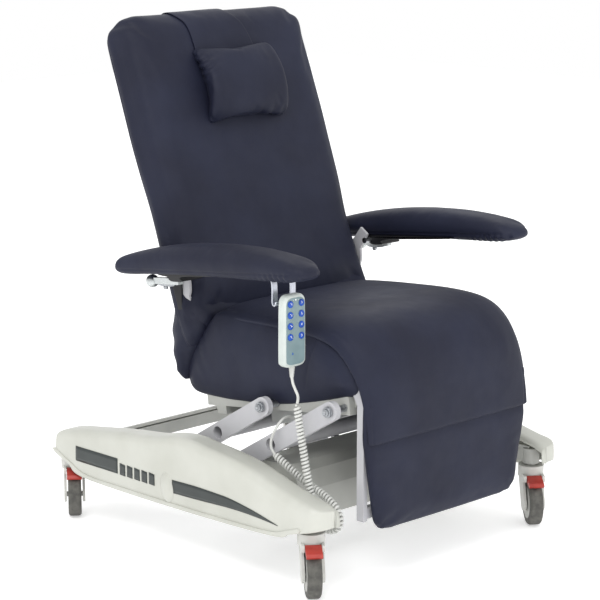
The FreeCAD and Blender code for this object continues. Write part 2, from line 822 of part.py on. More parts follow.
def make_handset():
    half = S["handset_width"] / 2
    shell = rounded(block((hand_x - half, hand_x + half), (hand_front, hand_back),
                          (hand_low, hand_high)), 9, runs_along("y"))
    lugs = []
    for side in (-1, 1):
        x = hand_x + HOOK_SPREAD * side
        lugs.append(block((x - 5, x + 5), (hand_back - 1, hand_back + 9), (602, 606)))
        lugs.append(block((x - 5, x + 5), (hand_back + 5.5, hand_back + 9), (596, 603)))
    wells = [rod("y", S["button_radius"] + 0.3, (x, hand_front - 1, z), 5)
             for x, z in button_spots()]
    boot_hole = rod("z", 4.5, (hand_x, hand_front + 11, hand_low - 5), 15)
    return cut(fuse(shell, *lugs), *wells, boot_hole)


keep("handset_shell", make_handset())


def make_hook():
    """Two steel prongs under the armrest that the handset's lugs drop into."""
    strips = []
    for side in (-1, 1):
        x = hand_x + HOOK_SPREAD * side
        span = (x - 8, x + 8)
        face = hand_back + 9.5
        strips.append(block(span, (face, face + 3), (590, 655)))
        strips.append(block(span, (face - 7.5, face + 3), (590, 593)))
        strips.append(block(span, (face - 7.5, face - 5), (590, 601.7)))
    bridge = block((hand_x - HOOK_SPREAD - 8, hand_x + HOOK_SPREAD + 8),
                   (hand_back + 9.5, hand_back + 40), (652, 655))
    return fuse(*strips, bridge)


keep("handset_hook", make_hook())

for number, (x, z) in enumerate(button_spots(), start=1):
    keep(f"button_{number}", rod("y", S["button_radius"], (x, hand_front - 1.8, z), 4.6))


def make_boot():
    """The tapered strain relief at the foot of the handset."""
    cone = doc.addObject("Part::Cone", "cone")
    bind(cone, "Radius1", S["cord_diameter"] / 2 + 1)
    cone.Radius2 = 6.5
    cone.Height = 25
    move(cone, hand_x, hand_front + 11, hand_low - 25)
    plug = rod("z", 4.5, (hand_x, hand_front + 11, hand_low - 1), 11)
    bore = rod("z", S["cord_diameter"] / 2 + 0.6, (hand_x, hand_front + 11, hand_low - 30), 20)
    return cut(fuse(cone, plug), bore)


keep("handset_boot", make_boot())


# ------------------------------------------------------------------ cord
def route_solid(label, points, diameter):
    """A tube along straight runs joined by tangent arcs, checked by its volume."""
    stops = [Vector(*point) for point in points]
    edges = []
    radii = []
    start = stops[0]
    length = 0.0
    for before, corner, after in zip(stops, stops[1:], stops[2:]):
        come, go = corner - before, after - corner
        turn = come.getAngle(go)
        radius = 0.45 * min(come.Length, go.Length) / math.tan(turn / 2)
        back = radius * math.tan(turn / 2)
        come.normalize()
        go.normalize()
        first = corner - come * back
        last = corner + go * back
        bisector = (go - come).normalize()
        middle = corner + bisector * (radius / math.cos(turn / 2) - radius)
        edges.append(Part.LineSegment(start, first).toShape())
        edges.append(Part.Arc(first, middle, last).toShape())
        length += (first - start).Length + radius * turn
        radii.append(radius)
        start = last
    edges.append(Part.LineSegment(start, stops[-1]).toShape())
    length += (stops[-1] - start).Length
    path = Part.Wire(edges)
    heading = stops[1] - stops[0]
    disc = Part.Wire([Part.Circle(stops[0], heading, diameter / 2).toShape()])
    tube = path.makePipeShell([disc], True, False)
    expected = math.pi * diameter ** 2 / 4 * length
    print(label, "length", round(length), "tightest bend", round(min(radii), 1),
          "volume", round(tube.Volume / expected, 4))
    made = doc.addObject("Part::Feature", "tube")
    made.Shape = tube
    return made


CORD_LEAD = [(-336, -292, 458), (-336, -292.5, 442), (-333, -300, 424), (-325, -302, 407),
             (-319, -291, 391)]
CORD_COIL = [(-319, -290, 388), (-319, -297, 345), (-319, -309, 293), (-319, -320, 242),
             (-319, -334, 196), (-318, -344, 158), (-313, -358, 132), (-307, -379, 124),
             (-301, -398, 134), (-299, -401, 158), (-299, -386, 180), (-299, -355, 196),
             (-299, -322, 206), (-304, -285, 222), (-310, -246, 245), (-312, -212, 262)]
CORD_TAIL = [(-312, -212, 262), (-312, -202, 273), (-311, -201, 289), (-309, -206, 305),
             (-303, -212, 322), (-291, -215, 335), (-275, -214, 339), (-258, -211, 334),
             (-241, -208, 327), (-223, -207.2, 325.2)]

cord = float(S["cord_diameter"])
keep("cord_lead", route_solid("cord_lead", CORD_LEAD, cord))
keep("cord_coil", route_solid("cord_coil", CORD_COIL, float(S["coil_diameter"])))
keep("cord_tail", route_solid("cord_tail", CORD_TAIL, cord))

# ------------------------------------------------------------------ checks and files
doc.recompute()
for thing in doc.Objects:
    state = [word for word in thing.State if word in ("Invalid", "Error")]
    if state:
        raise RuntimeError(f"{thing.Label} is {state}")
for label, thing in nodes.items():
    if thing.Shape.isNull() or not thing.Shape.isValid():
        raise RuntimeError(f"{label} has no valid shape")

for name, hinge, foot, tip, travel in (("lift", front_low, LIFT_FOOT, lift_tip, LIFT_TRAVEL),
                                       ("back", BACK_HINGE, BACK_FOOT, back_tip, BACK_TRAVEL),
                                       ("leg", LEG_HINGE, LEG_FOOT, leg_tip, LEG_TRAVEL)):
    turn = -math.radians(travel)
    arm = (tip[0] - hinge[0], tip[1] - hinge[1])
    end = (hinge[0] + arm[0] * math.cos(turn) - arm[1] * math.sin(turn),
           hinge[1] + arm[0] * math.sin(turn) + arm[1] * math.cos(turn))
    change = math.dist(end, foot) - math.dist(tip, foot)
    line = math.degrees(math.atan2(tip[1] - foot[1], tip[0] - foot[0]))
    print(name, "actuator stroke", round(change, 2), "line", round(line, 3),
          "tip", [round(v, 2) for v in tip])
print("front top", front_top, "rear top", rear_top)

os.makedirs("parts", exist_ok=True)
whole = FreeCAD.BoundBox()
for label, thing in nodes.items():
    thing.Shape.exportStep(os.path.join("parts", f"{label}.step"))
    whole.add(thing.Shape.BoundBox)
print(len(nodes), "nodes; box", [round(v, 1) for v in (whole.XMin, whole.XMax, whole.YMin,
                                                       whole.YMax, whole.ZMin, whole.ZMax)])
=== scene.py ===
# %% [markdown]
# # Patient recliner chair
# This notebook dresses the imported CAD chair. The CAD gives every place and every
# hinge, and this file gives the looks: stuffed cushions, moulded covers, a curly
# cord and the finish of each surface. Lengths are written in millimetres, as in the
# drawing of the chair, and turned to metres where a mesh is made.
# X runs along the width, -Y is the front, and Z is up.

# %% Load the frame
import math

import bmesh
import bpy
import numpy as np
from mathutils import Matrix, Vector


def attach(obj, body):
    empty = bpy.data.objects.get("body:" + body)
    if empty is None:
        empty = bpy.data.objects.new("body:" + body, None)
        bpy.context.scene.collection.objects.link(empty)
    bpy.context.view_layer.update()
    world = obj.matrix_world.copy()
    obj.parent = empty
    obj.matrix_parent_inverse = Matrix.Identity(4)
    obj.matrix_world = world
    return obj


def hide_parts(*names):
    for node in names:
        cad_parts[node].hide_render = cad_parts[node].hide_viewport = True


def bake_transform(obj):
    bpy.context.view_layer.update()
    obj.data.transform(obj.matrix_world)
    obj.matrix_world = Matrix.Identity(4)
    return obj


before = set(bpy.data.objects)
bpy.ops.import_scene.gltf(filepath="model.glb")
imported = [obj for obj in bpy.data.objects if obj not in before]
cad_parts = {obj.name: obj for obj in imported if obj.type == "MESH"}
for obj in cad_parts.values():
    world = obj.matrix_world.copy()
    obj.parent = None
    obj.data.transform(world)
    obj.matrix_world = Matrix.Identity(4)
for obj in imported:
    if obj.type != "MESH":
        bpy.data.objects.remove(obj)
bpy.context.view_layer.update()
scene = bpy.context.scene
scene.view_settings.view_transform = "Standard"
MM = 0.001

# %% [markdown]
# ## Local frames
# The backrest and the armrests lean, so their shapes are easier to write in frames
# that lean with them. Each frame is a turn about X after a move to its hinge.
# In the backrest's frame, Y points to the rear and Z runs up along the back.

# %% Leaning frames
def place(x, y, z, axis="X", degrees=0.0):
    """A frame at this point in mm, turned about one axis."""
    turn = Matrix.Rotation(math.radians(degrees), 4, axis)
    return Matrix.Translation((x * MM, y * MM, z * MM)) @ turn


WORLD = Matrix.Identity(4)
BACK = place(0, 112, 420, degrees=-21)
ARM = {side: place(side * 336, 84, 616, degrees=-6.5) for side in (-1, 1)}
SIDE_NAME = {-1: "right", 1: "left"}

# %% [markdown]
# ## Camera
# A long lens from the front right corner keeps the width and the height of the chair in
# proportion. It looks down by about 12 degrees.

# %% Camera
lens = bpy.data.cameras.new("studio_camera")
lens.lens = 129.66
lens.sensor_width = 36.0
lens.clip_end = 50.0
camera = bpy.data.objects.new("studio_camera", lens)
camera.location = (-3.41484, -3.46728, 1.560)
camera.rotation_euler = (math.radians(77.97), 0.0, math.radians(-44.34))
scene.collection.objects.link(camera)
scene.camera = camera

# %% [markdown]
# ## Tools for meshes
# A mesh is a list of points and a list of faces. One function turns millimetre points in
# a leaning frame into an object, and one more sweeps a round section along a line.

# %% Mesh tools
def new_piece(name, points, faces, where=WORLD, smooth=True):
    """An object from points in mm, placed by a frame."""
    mesh = bpy.data.meshes.new(name)
    mesh.from_pydata([where @ (Vector(point) * MM) for point in points], [], faces)
    mesh.validate()
    if smooth:
        mesh.shade_smooth()
    piece = bpy.data.objects.new(name, mesh)
    scene.collection.objects.link(piece)
    recalc_normals(piece)
    return piece


def recalc_normals(piece):
    """Turn every face outward."""
    work = bmesh.new()
    work.from_mesh(piece.data)
    bmesh.ops.recalc_face_normals(work, faces=work.faces)
    work.to_mesh(piece.data)
    work.free()


def grid_faces(rows, columns, wrap=False):
    """Quads between the rows of a grid of points. A wrapped row closes on itself."""
    faces = []
    for row in range(rows - 1):
        for column in range(columns if wrap else columns - 1):
            after = (column + 1) % columns
            faces.append((row * columns + column, row * columns + after,
                          (row + 1) * columns + after, (row + 1) * columns + column))
    return faces


def end_faces(ring, total):
    """One face over the first ring of points and one over the last."""
    return [tuple(range(ring)), tuple(range(total - ring, total))]


def apply_modifiers(piece):
    """Keep the shape that the modifiers make."""
    graph = bpy.context.evaluated_depsgraph_get()
    mesh = bpy.data.meshes.new_from_object(piece.evaluated_get(graph))
    piece.modifiers.clear()
    piece.data = mesh


def modify(piece, kind, **settings):
    """Add one modifier with its settings, and apply it."""
    modifier = piece.modifiers.new(kind.lower(), kind)
    for key, value in settings.items():
        setattr(modifier, key, value)
    apply_modifiers(piece)
    return piece


def join(name, pieces):
    """Several meshes as one object."""
    with bpy.context.temp_override(active_object=pieces[0], selected_editable_objects=pieces):
        bpy.ops.object.join()
    pieces[0].name = name
    return pieces[0]


def tube(name, points, radius, sides=10):
    """A round section swept along points in metres, without twist."""
    line = [Vector(point) for point in points]
    count = len(line)
    across = None
    rings = []
    for index, point in enumerate(line):
        along = (line[min(index + 1, count - 1)] - line[max(index - 1, 0)]).normalized()
        if across is None:
            across = along.orthogonal().normalized()
        across = (across - along * across.dot(along)).normalized()
        other = along.cross(across)
        for side in range(sides):
            angle = 2 * math.pi * side / sides
            rings.append((point + (across * math.cos(angle) + other * math.sin(angle)) * radius)
                         / MM)
    faces = grid_faces(count, sides, wrap=True)
    return new_piece(name, rings, faces + end_faces(sides, len(rings)))


# %% [markdown]
# ## The handset's curly cord
# The cord leaves the handset through its boot, hangs as a straight lead, and becomes a
# tight coil that hangs down beside the legrest and climbs back to the control box under
# the seat. Its line is a NURBS spline through a few points. The helix is computed around
# the points of that spline, 12 for each turn, and the whole is read as one line.
# It could be a curve with a bevel, but it is made as a mesh.

# %% Cord routes
CORD_LEAD = [(-336, -292, 458), (-336, -292.5, 442), (-333, -300, 424), (-325, -302, 407),
             (-319, -291, 391)]
CORD_COIL = [(-319, -290, 388), (-319, -297, 345), (-319, -309, 293), (-319, -320, 242),
             (-319, -334, 196), (-318, -344, 158), (-313, -358, 132), (-307, -379, 124),
             (-301, -398, 134), (-299, -401, 158), (-299, -386, 180), (-299, -355, 196),
             (-299, -322, 206), (-304, -285, 222), (-310, -246, 245), (-312, -212, 262)]
CORD_TAIL = [(-312, -212, 262), (-312, -202, 273), (-311, -201, 289), (-309, -206, 305),
             (-303, -212, 322), (-291, -215, 335), (-275, -214, 339), (-258, -211, 334),
             (-241, -208, 327), (-223, -207.2, 325.2)]
CORD_DIAMETER = 0.006
HELIX_RADIUS = 0.0063
HELIX_PITCH = 0.0078
POINTS_PER_TURN = 12


def spline_line(points):
    """The points of a smooth NURBS line that is steered by these points in metres."""
    data = bpy.data.curves.new("route", "CURVE")
    data.dimensions = "3D"
    data.resolution_u = 8
    spline = data.splines.new("NURBS")
    spline.points.add(len(points) - 1)
    for spot, point in zip(spline.points, points):
        spot.co = (*point, 1.0)
    spline.order_u = 3
    spline.use_endpoint_u = True
    route = bpy.data.objects.new("route", data)
    scene.collection.objects.link(route)
    mesh = bpy.data.meshes.new_from_object(route)
    line = [vertex.co.copy() for vertex in mesh.vertices]
    bpy.data.objects.remove(route)
    bpy.data.meshes.remove(mesh)
    return line


def in_metres(points):
    return [Vector(point) * MM for point in points]


def evenly(line, gap):
    """Points this gap apart along a line, and the line's length."""
    lengths = [0.0]
    for before, after in zip(line, line[1:]):
        lengths.append(lengths[-1] + (after - before).length)
    count = int(round(lengths[-1] / gap))
    spots = []
    at = 0
    for index in range(count + 1):
        goal = lengths[-1] * index / count
        while at < len(line) - 2 and lengths[at + 1] < goal:
            at += 1
        share = (goal - lengths[at]) / max(lengths[at + 1] - lengths[at], 1e-9)
        spots.append(line[at].lerp(line[at + 1], share))
    return spots, lengths[-1]


def helix_round(line):
    """The points of a helix about a line, narrowing to the line at both ends."""
    spots, _ = evenly(line, HELIX_PITCH / POINTS_PER_TURN)
    across = Vector((1, 0, 0))
    wound = []
    for index, spot in enumerate(spots[:-1]):
        along = (spots[index + 1] - spot).normalized()
        across = (across - along * across.dot(along)).normalized()
        other = along.cross(across)
        angle = 2 * math.pi * index / POINTS_PER_TURN
        near_end = min(index, len(spots) - 2 - index) / (1.5 * POINTS_PER_TURN)
        radius = HELIX_RADIUS * min(1.0, 0.15 + near_end)
        wound.append(spot + (across * math.cos(angle) + other * math.sin(angle)) * radius)
    return wound


# %% Make the cords
def make_cord(name, controls, sides):
    """A cord's mesh and its centreline."""
    line = spline_line(controls)
    _, length = evenly(line, 0.002)
    print(name, "is", round(length, 3), "m long")
    return tube(name, line, CORD_DIAMETER / 2, sides), line, length


lead, lead_line, lead_length = make_cord("handset_lead", in_metres(CORD_LEAD), 14)
coil_controls = (in_metres(reversed(CORD_TAIL))[:-1]
                 + helix_round(spline_line(in_metres(reversed(CORD_COIL)))))
curly, curly_line, curly_length = make_cord("curly_cord", coil_controls, 8)

# %% [markdown]
# ## Node tool and colours
# Every finish is a small tree of shader nodes. One function adds any node, sets its
# values and makes its links. Colours are picked as sRGB hex codes, as in any paint
# program, and one function turns them to the linear values that light needs.

# %% Node tool
def linear(code):
    """An sRGB hex code as linear red, green, blue and alpha."""
    shares = [int(code[start:start + 2], 16) / 255 for start in (1, 3, 5)]
    return tuple(share / 12.92 if share <= 0.04045 else ((share + 0.055) / 1.055) ** 2.4
                 for share in shares) + (1.0,)


def add_node(tree, kind, settings=None, links=None):
    """A node of this kind, with its settings and with links into its inputs."""
    made = tree.nodes.new(kind)
    for key, value in (settings or {}).items():
        if key in made.inputs:
            made.inputs[key].default_value = value
        else:
            setattr(made, key, value)
    for key, output in (links or {}).items():
        tree.links.new(output, made.inputs[key])
    return made


def per_metre(size_mm):
    """The texture scale that gives features of this size."""
    return 1000.0 / size_mm


def noise(tree, spot, size_mm, detail):
    """Cloudy noise whose patches have about this size."""
    return add_node(tree, "ShaderNodeTexNoise",
                    {"Scale": per_metre(size_mm), "Detail": detail}, {"Vector": spot})


def new_finish(name, **sockets):
    """An empty material, its shader with uniform sockets set, and object coordinates."""
    finish = bpy.data.materials.new(name)
    finish.use_nodes = True
    tree = finish.node_tree
    shader = tree.nodes["Principled BSDF"]
    for key, value in sockets.items():
        shader.inputs[key.replace("_", " ")].default_value = value
    spot = add_node(tree, "ShaderNodeTexCoord")
    return finish, tree, shader, spot.outputs["Object"]


def tint(tree, shader, source, dark, light, low=0.35, high=0.65):
    """Colour that drifts between two shades with a pattern."""
    ramp = add_node(tree, "ShaderNodeValToRGB", links={"Fac": source})
    ramp.color_ramp.elements[0].position = low
    ramp.color_ramp.elements[1].position = high
    ramp.color_ramp.elements[0].color = linear(dark)
    ramp.color_ramp.elements[1].color = linear(light)
    tree.links.new(ramp.outputs["Color"], shader.inputs["Base Color"])
    return ramp


def gloss(tree, shader, source, smooth, rough):
    """Roughness that drifts between two values with a pattern."""
    span = add_node(tree, "ShaderNodeMapRange", {"To Min": smooth, "To Max": rough},
                    {"Value": source})
    tree.links.new(span.outputs["Result"], shader.inputs["Roughness"])


def relief(tree, shader, source, depth_mm, below=None):
    """Bumps of this depth. Given another bump below, both add up."""
    links = {"Height": source}
    if below is not None:
        links["Normal"] = below.outputs["Normal"]
    bump = add_node(tree, "ShaderNodeBump", {"Strength": 1.0, "Distance": depth_mm * MM}, links)
    tree.links.new(bump.outputs["Normal"], shader.inputs["Normal"])
    return bump


# %% [markdown]
# ## Upholstery: PVC-coated fabric
# Hospital seats wear a knitted cloth with a soft vinyl skin, embossed with a leather
# grain. The eye gets a dark navy with a broad dull shine, small pebbles in the skin,
# and slight patches where hands and cleaning have polished it. The real pebbles are
# about 1 mm across, too fine to show here, so they are drawn at 2.4 mm.

# %% Leathercloth
def leathercloth():
    finish, tree, shader, spot = new_finish(
        "pvc_leathercloth_navy", IOR=1.38, Sheen_Weight=0.02, Sheen_Roughness=0.5)
    shader.inputs["Sheen Tint"].default_value = linear("#8b8fa8")
    patches = noise(tree, spot, 160, 4.0)
    tint(tree, shader, patches.outputs["Fac"], "#14172a", "#1c2034")
    wear = noise(tree, spot, 45, 3.0)
    gloss(tree, shader, wear.outputs["Fac"], 0.56, 0.72)
    ripple = noise(tree, spot, 70, 2.0)
    soft = relief(tree, shader, ripple.outputs["Fac"], 2.2)
    pebble = add_node(tree, "ShaderNodeTexVoronoi",
                      {"Scale": per_metre(2.4), "feature": "SMOOTH_F1", "Smoothness": 0.6},
                      {"Vector": spot})
    relief(tree, shader, pebble.outputs["Distance"], 0.16, soft)
    return finish


# %% [markdown]
# ## Mouldings
# The base covers are vacuum-formed ABS sheet: warm white, satin, with a faint pull in
# the surface. Casters are glass-filled nylon, duller and a little grey. The brake
# pedals are red nylon. One function makes all of them from their own numbers, because
# a moulding's look comes from the same few things: base colour, shine, a slight
# unevenness of the skin, and dust that settles in patches.

# %% Moulded plastics
def moulding(name, dark, light, smooth, rough, skin_mm, skin_depth, patch_mm=120, ior=1.5,
             coat=0.0):
    """A moulded plastic. Skin is the size and depth of its unevenness in mm."""
    finish, tree, shader, spot = new_finish(name, IOR=ior, Coat_Weight=coat,
                                            Coat_Roughness=0.25)
    patches = noise(tree, spot, patch_mm, 4.0)
    tint(tree, shader, patches.outputs["Fac"], dark, light)
    gloss(tree, shader, patches.outputs["Fac"], smooth, rough)
    skin = noise(tree, spot, skin_mm, 3.0)
    relief(tree, shader, skin.outputs["Fac"], skin_depth)
    return finish


# %% [markdown]
# ## Metals
# The chair's frame is welded steel with white powder coat, which has the fine dimples
# of an orange's skin. Pins are zinc-plated, and the handset's hook and the release bar
# are brushed: fine lines along one direction stretch the highlight.

# %% Powder coat and bare metal
def powder_coat(name, dark, light, roughness):
    """Paint baked onto steel. Its real dimples are about 2 mm wide."""
    finish, tree, shader, spot = new_finish(name, IOR=1.5)
    patches = noise(tree, spot, 90, 5.0)
    tint(tree, shader, patches.outputs["Fac"], dark, light)
    gloss(tree, shader, patches.outputs["Fac"], roughness, roughness + 0.15)
    dimples = noise(tree, spot, 2.5, 1.0)
    relief(tree, shader, dimples.outputs["Fac"], 0.06)
    return finish


def bare_metal(name, dark, light, smooth, rough, stretch):
    """Metal with lines. Stretch squeezes the pattern along each axis."""
    finish, tree, shader, spot = new_finish(name, Metallic=1.0)
    lines = add_node(tree, "ShaderNodeMapping", {"Scale": stretch}, {"Vector": spot})
    scratches = noise(tree, lines.outputs["Vector"], 4, 4.0)
    tint(tree, shader, scratches.outputs["Fac"], dark, light)
    gloss(tree, shader, scratches.outputs["Fac"], smooth, rough)
    relief(tree, shader, scratches.outputs["Fac"], 0.03)
    return finish


# %% [markdown]
# ## Rubber
# Caster tyres are grey thermoplastic rubber. It is matt, it picks up floor dust, and a
# run of fine mould lines goes round it.

# %% Tyre rubber
def tyre_rubber():
    finish, tree, shader, spot = new_finish("thermoplastic_rubber_grey", IOR=1.5)
    dust = noise(tree, spot, 14, 6.0)
    tint(tree, shader, dust.outputs["Fac"], "#454441", "#5f5e59")
    gloss(tree, shader, dust.outputs["Fac"], 0.62, 0.85)
    relief(tree, shader, dust.outputs["Fac"], 0.25)
    return finish


# %% All finishes by material slot
FINISH = {
    "leatherette": leathercloth(),
    "cover_plastic": moulding("vacuum_formed_abs_white", "#b9bab1", "#c3c4bc", 0.3, 0.44,
                              60, 0.5, coat=0.1),
    "shroud_plastic": moulding("vacuum_formed_abs_grey_white", "#b3b4ae", "#c0c1bb", 0.4, 0.55,
                               60, 0.5),
    "caster_plastic": moulding("glass_filled_nylon_light_grey", "#c0c0bb", "#cbcbc6", 0.38, 0.55,
                               3, 0.08, patch_mm=40),
    "hub_plastic": moulding("glass_filled_nylon_hub_grey", "#9fa09b", "#b3b3ae", 0.4, 0.6,
                            3, 0.08, patch_mm=30),
    "tyre_rubber": tyre_rubber(),
    "pedal_plastic": moulding("moulded_nylon_brake_red", "#9c2c23", "#b03a30", 0.35, 0.5,
                              4, 0.1, patch_mm=25),
    "pin_steel": bare_metal("zinc_plated_steel", "#8d9095", "#b7babd", 0.3, 0.5, (1, 1, 1)),
    "chassis_steel": powder_coat("powder_coated_steel_warm_grey", "#a9aaa5", "#b7b8b3", 0.45),
    "white_steel": powder_coat("powder_coated_steel_white", "#b2b2b6", "#bebec1", 0.38),
    "black_steel": powder_coat("powder_coated_steel_black", "#121214", "#1d1d20", 0.4),
    "motor_plastic": moulding("glass_filled_nylon_actuator_grey", "#8f9191", "#a5a7a7", 0.45,
                              0.6, 3, 0.1, patch_mm=50),
    "rod_steel": bare_metal("ground_and_chromed_steel_rod", "#b4b6b8", "#d6d8da", 0.12, 0.25,
                            (1, 8, 8)),
    "box_plastic": moulding("moulded_abs_control_box_grey", "#b5b7b5", "#c5c7c5", 0.42, 0.58,
                            2.5, 0.1, patch_mm=60),
    "knob_aluminium": bare_metal("brushed_aluminium", "#b2b6b6", "#d3d7d7", 0.28, 0.42,
                                 (8, 0.6, 8)),
    "handset_plastic": moulding("moulded_abs_handset_white", "#bcc4c0", "#c8cfcb", 0.32, 0.45,
                                2.5, 0.06, patch_mm=40),
    "hook_steel": bare_metal("brushed_stainless_steel", "#b9bcc8", "#d5d8e0", 0.3, 0.45,
                             (8, 8, 0.5)),
    "boot_rubber": moulding("moulded_soft_pvc_white", "#c4c5c1", "#cfd0cc", 0.4, 0.55, 3, 0.08,
                            patch_mm=20),
    "key_plastic": moulding("silicone_keycap_blue", "#0a3f9c", "#1450b4", 0.35, 0.5, 2.5, 0.05,
                            patch_mm=8),
    "cord_plastic": moulding("extruded_pvc_cord_white", "#c4c5c1", "#d0d1cd", 0.35, 0.5, 4,
                             0.06, patch_mm=25),
}
FOIL = moulding("printed_polyester_foil_graphite", "#242b2a", "#2e3534", 0.28, 0.36, 30, 0.1,
                patch_mm=60)
KEYPAD = moulding("printed_polyester_foil_grey_green", "#74898d", "#7f9498", 0.25, 0.35, 20,
                  0.05, patch_mm=30)
PRINT = moulding("screen_printed_ink_white", "#e8ecee", "#f4f6f7", 0.4, 0.5, 3, 0.02,
                 patch_mm=10)
GRAPHIC_BLUE = moulding("screen_printed_ink_blue", "#2a5aa8", "#3465b3", 0.4, 0.5, 3, 0.02,
                        patch_mm=10)
# Near-black finish of the strips that paint shade behind the arm brackets.
SHADE_STRIP_FINISH = moulding("black_seat_belt_webbing", "#17171a", "#232327", 0.6, 0.8, 2.0, 0.3,
                       patch_mm=15)

# %% Dress the CAD parts that stay
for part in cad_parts.values():
    for slot_place in part.material_slots:
        slot_place.material = FINISH[slot_place.material.name.split(".")[0]]


def dress(piece, slot, body=None, finish=None):
    """Give a piece a finish, by slot name unless one is given, and let it ride on a body."""
    piece.data.materials.clear()
    piece.data.materials.append(finish or FINISH[slot])
    if body:
        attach(piece, body)
    return piece


# %% [markdown]
# ## Stuffed forms
# A foam cushion is drawn by its side outline, which is lofted across the width. Towards
# each end the outline shrinks, so the edges are round and the end face bulges. The form
# starts a little small. Then the cover is blown up like a balloon: the mesh is remeshed
# to even squares, Blender's Cloth pushes it out with pressure, and a cap keeps it from
# going further than the foam would. Seams and creases are pressed in after that.

# %% Outlines and lofts
def through(points, count, closed=True):
    """Evenly spaced points on a smooth line through these points."""
    spots = np.array(points, float)
    total = len(spots)
    fine = []
    for index in range(total if closed else total - 1):
        if closed:
            a, b, c, d = (spots[(index + ahead) % total] for ahead in (-1, 0, 1, 2))
        else:
            a, b, c, d = (spots[min(max(index + ahead, 0), total - 1)]
                          for ahead in (-1, 0, 1, 2))
        for t in np.linspace(0, 1, 24, endpoint=False):
            fine.append(0.5 * (2 * b + (c - a) * t + (2 * a - 5 * b + 4 * c - d) * t ** 2
                               + (3 * b - a - 3 * c + d) * t ** 3))
    fine.append(fine[0] if closed else spots[-1])
    fine = np.array(fine)
    run = np.concatenate([[0], np.cumsum(np.linalg.norm(np.diff(fine, axis=0), axis=1))])
    goals = np.linspace(0, run[-1], count, endpoint=not closed)
    return np.stack([np.interp(goals, run, fine[:, axis]) for axis in range(fine.shape[1])], 1)


def shrunk(ring, inset):
    """A closed outline moved inward by this much."""
    ahead, behind = np.roll(ring, -1, 0), np.roll(ring, 1, 0)
    along = ahead - behind
    along /= np.linalg.norm(along, axis=1)[:, None]
    area = np.sum(ring[:, 0] * ahead[:, 1] - ahead[:, 0] * ring[:, 1])
    inward = np.stack([-along[:, 1], along[:, 0]], 1) * (1 if area > 0 else -1)
    return ring + inward * inset


def foam_form(name, outline, half_width, edge, bulge, where=WORLD, middle=0.0, swell=0.0,
              count=110, reshape=None):
    """A closed block lofted across X, with round edges of this radius and bulging ends."""
    ring = through(outline, count)
    steps = [(half_width + bulge, edge * 1.9), (half_width + bulge * 0.7, edge * 1.4)]
    steps += [(half_width - edge * (1 - math.cos(turn)), edge * (1 - math.sin(turn)))
              for turn in np.radians([0, 20, 40, 60, 80])]
    flat = half_width - edge
    across = np.linspace(flat, -flat, 15)
    right = [(-x, inset) for x, inset in reversed(steps)]
    stations = steps + [(x, -swell * (1 - (x / flat) ** 2)) for x in across] + right
    points = []
    for x, inset in stations:
        points += [(x + middle, y, z) for y, z in shrunk(ring, inset)]
    points = np.array(points)
    if reshape is not None:
        points = reshape(points)
    faces = grid_faces(len(stations), count, wrap=True)
    return new_piece(name, points, faces + end_faces(count, len(points)), where)


def round_corners(points, first, second, half, end, radius):
    """Turn the square corners past (half, end) into arcs, in the plane of two axes."""
    side = np.sign(points[:, first])
    over = np.abs(points[:, first]) - (half - radius)
    past = (points[:, second] - (end - radius * np.sign(end))) * np.sign(end)
    corner = (over > 0) & (past > 0)
    scale = np.ones(len(points))
    scale[corner] = (np.maximum(over, past)[corner]
                     / np.hypot(over[corner], past[corner]))
    moved = points.copy()
    moved[corner, first] = (side * (half - radius + over * scale))[corner]
    moved[corner, second] = (end - radius * np.sign(end)
                             + past * scale * np.sign(end))[corner]
    return moved


# %% Blow up and press in
def corners_of(mesh):
    flat = np.zeros(len(mesh.vertices) * 3)
    mesh.vertices.foreach_get("co", flat)
    return flat.reshape(-1, 3)


def set_corners(mesh, points):
    mesh.vertices.foreach_set("co", np.asarray(points, float).ravel())
    mesh.update()


def local_mm(piece, where):
    """A piece's points in mm in a leaning frame."""
    back = np.array(where.inverted())
    return (corners_of(piece.data) @ back[:3, :3].T + back[:3, 3]) / MM


CLOTH_FRAMES = 20


def puff(piece, voxel, cap, where, held, pressure=4.0):
    """Remesh, blow up with Cloth, cap the swelling in mm, and subdivide once."""
    modify(piece, "REMESH", mode="VOXEL", voxel_size=voxel * MM)
    before = corners_of(piece.data)
    weights = held(local_mm(piece, where))
    group = piece.vertex_groups.new(name="held")
    for index in np.nonzero(weights > 0.02)[0]:
        group.add([int(index)], float(weights[index]), "REPLACE")
    cloth = piece.modifiers.new("pressure", "CLOTH")
    cloth.settings.quality = 4
    cloth.settings.mass = 0.35
    cloth.settings.tension_stiffness = 12.0
    cloth.settings.compression_stiffness = 12.0
    cloth.settings.bending_stiffness = 1.5
    cloth.settings.use_pressure = True
    cloth.settings.uniform_pressure_force = pressure
    cloth.settings.effector_weights.gravity = 0.0
    cloth.settings.vertex_group_mass = "held"
    cloth.collision_settings.use_collision = False
    for number in range(1, CLOTH_FRAMES + 1):
        scene.frame_set(number)
    apply_modifiers(piece)
    scene.frame_set(1)
    moved = corners_of(piece.data) - before
    reach = np.linalg.norm(moved, axis=1)
    limit = cap * MM
    scale = np.where(reach > 1e-9, limit * np.tanh(reach / limit) / np.maximum(reach, 1e-9), 1)
    set_corners(piece.data, before + moved * scale[:, None])
    print(piece.name, "swelled by up to", round(float(reach.max() / MM), 1), "mm")
    modify(piece, "SMOOTH", factor=0.5, iterations=4)
    modify(piece, "SUBSURF", levels=1, render_levels=1)
    piece.data.shade_smooth()
    return piece


def press(piece, where, depth):
    """Move each point along its normal by depth(points in mm), outward when positive."""
    normals = np.zeros(len(piece.data.vertices) * 3)
    piece.data.vertex_normals.foreach_get("vector", normals)
    amount = depth(local_mm(piece, where))
    set_corners(piece.data, corners_of(piece.data)
                + normals.reshape(-1, 3) * (amount * MM)[:, None])


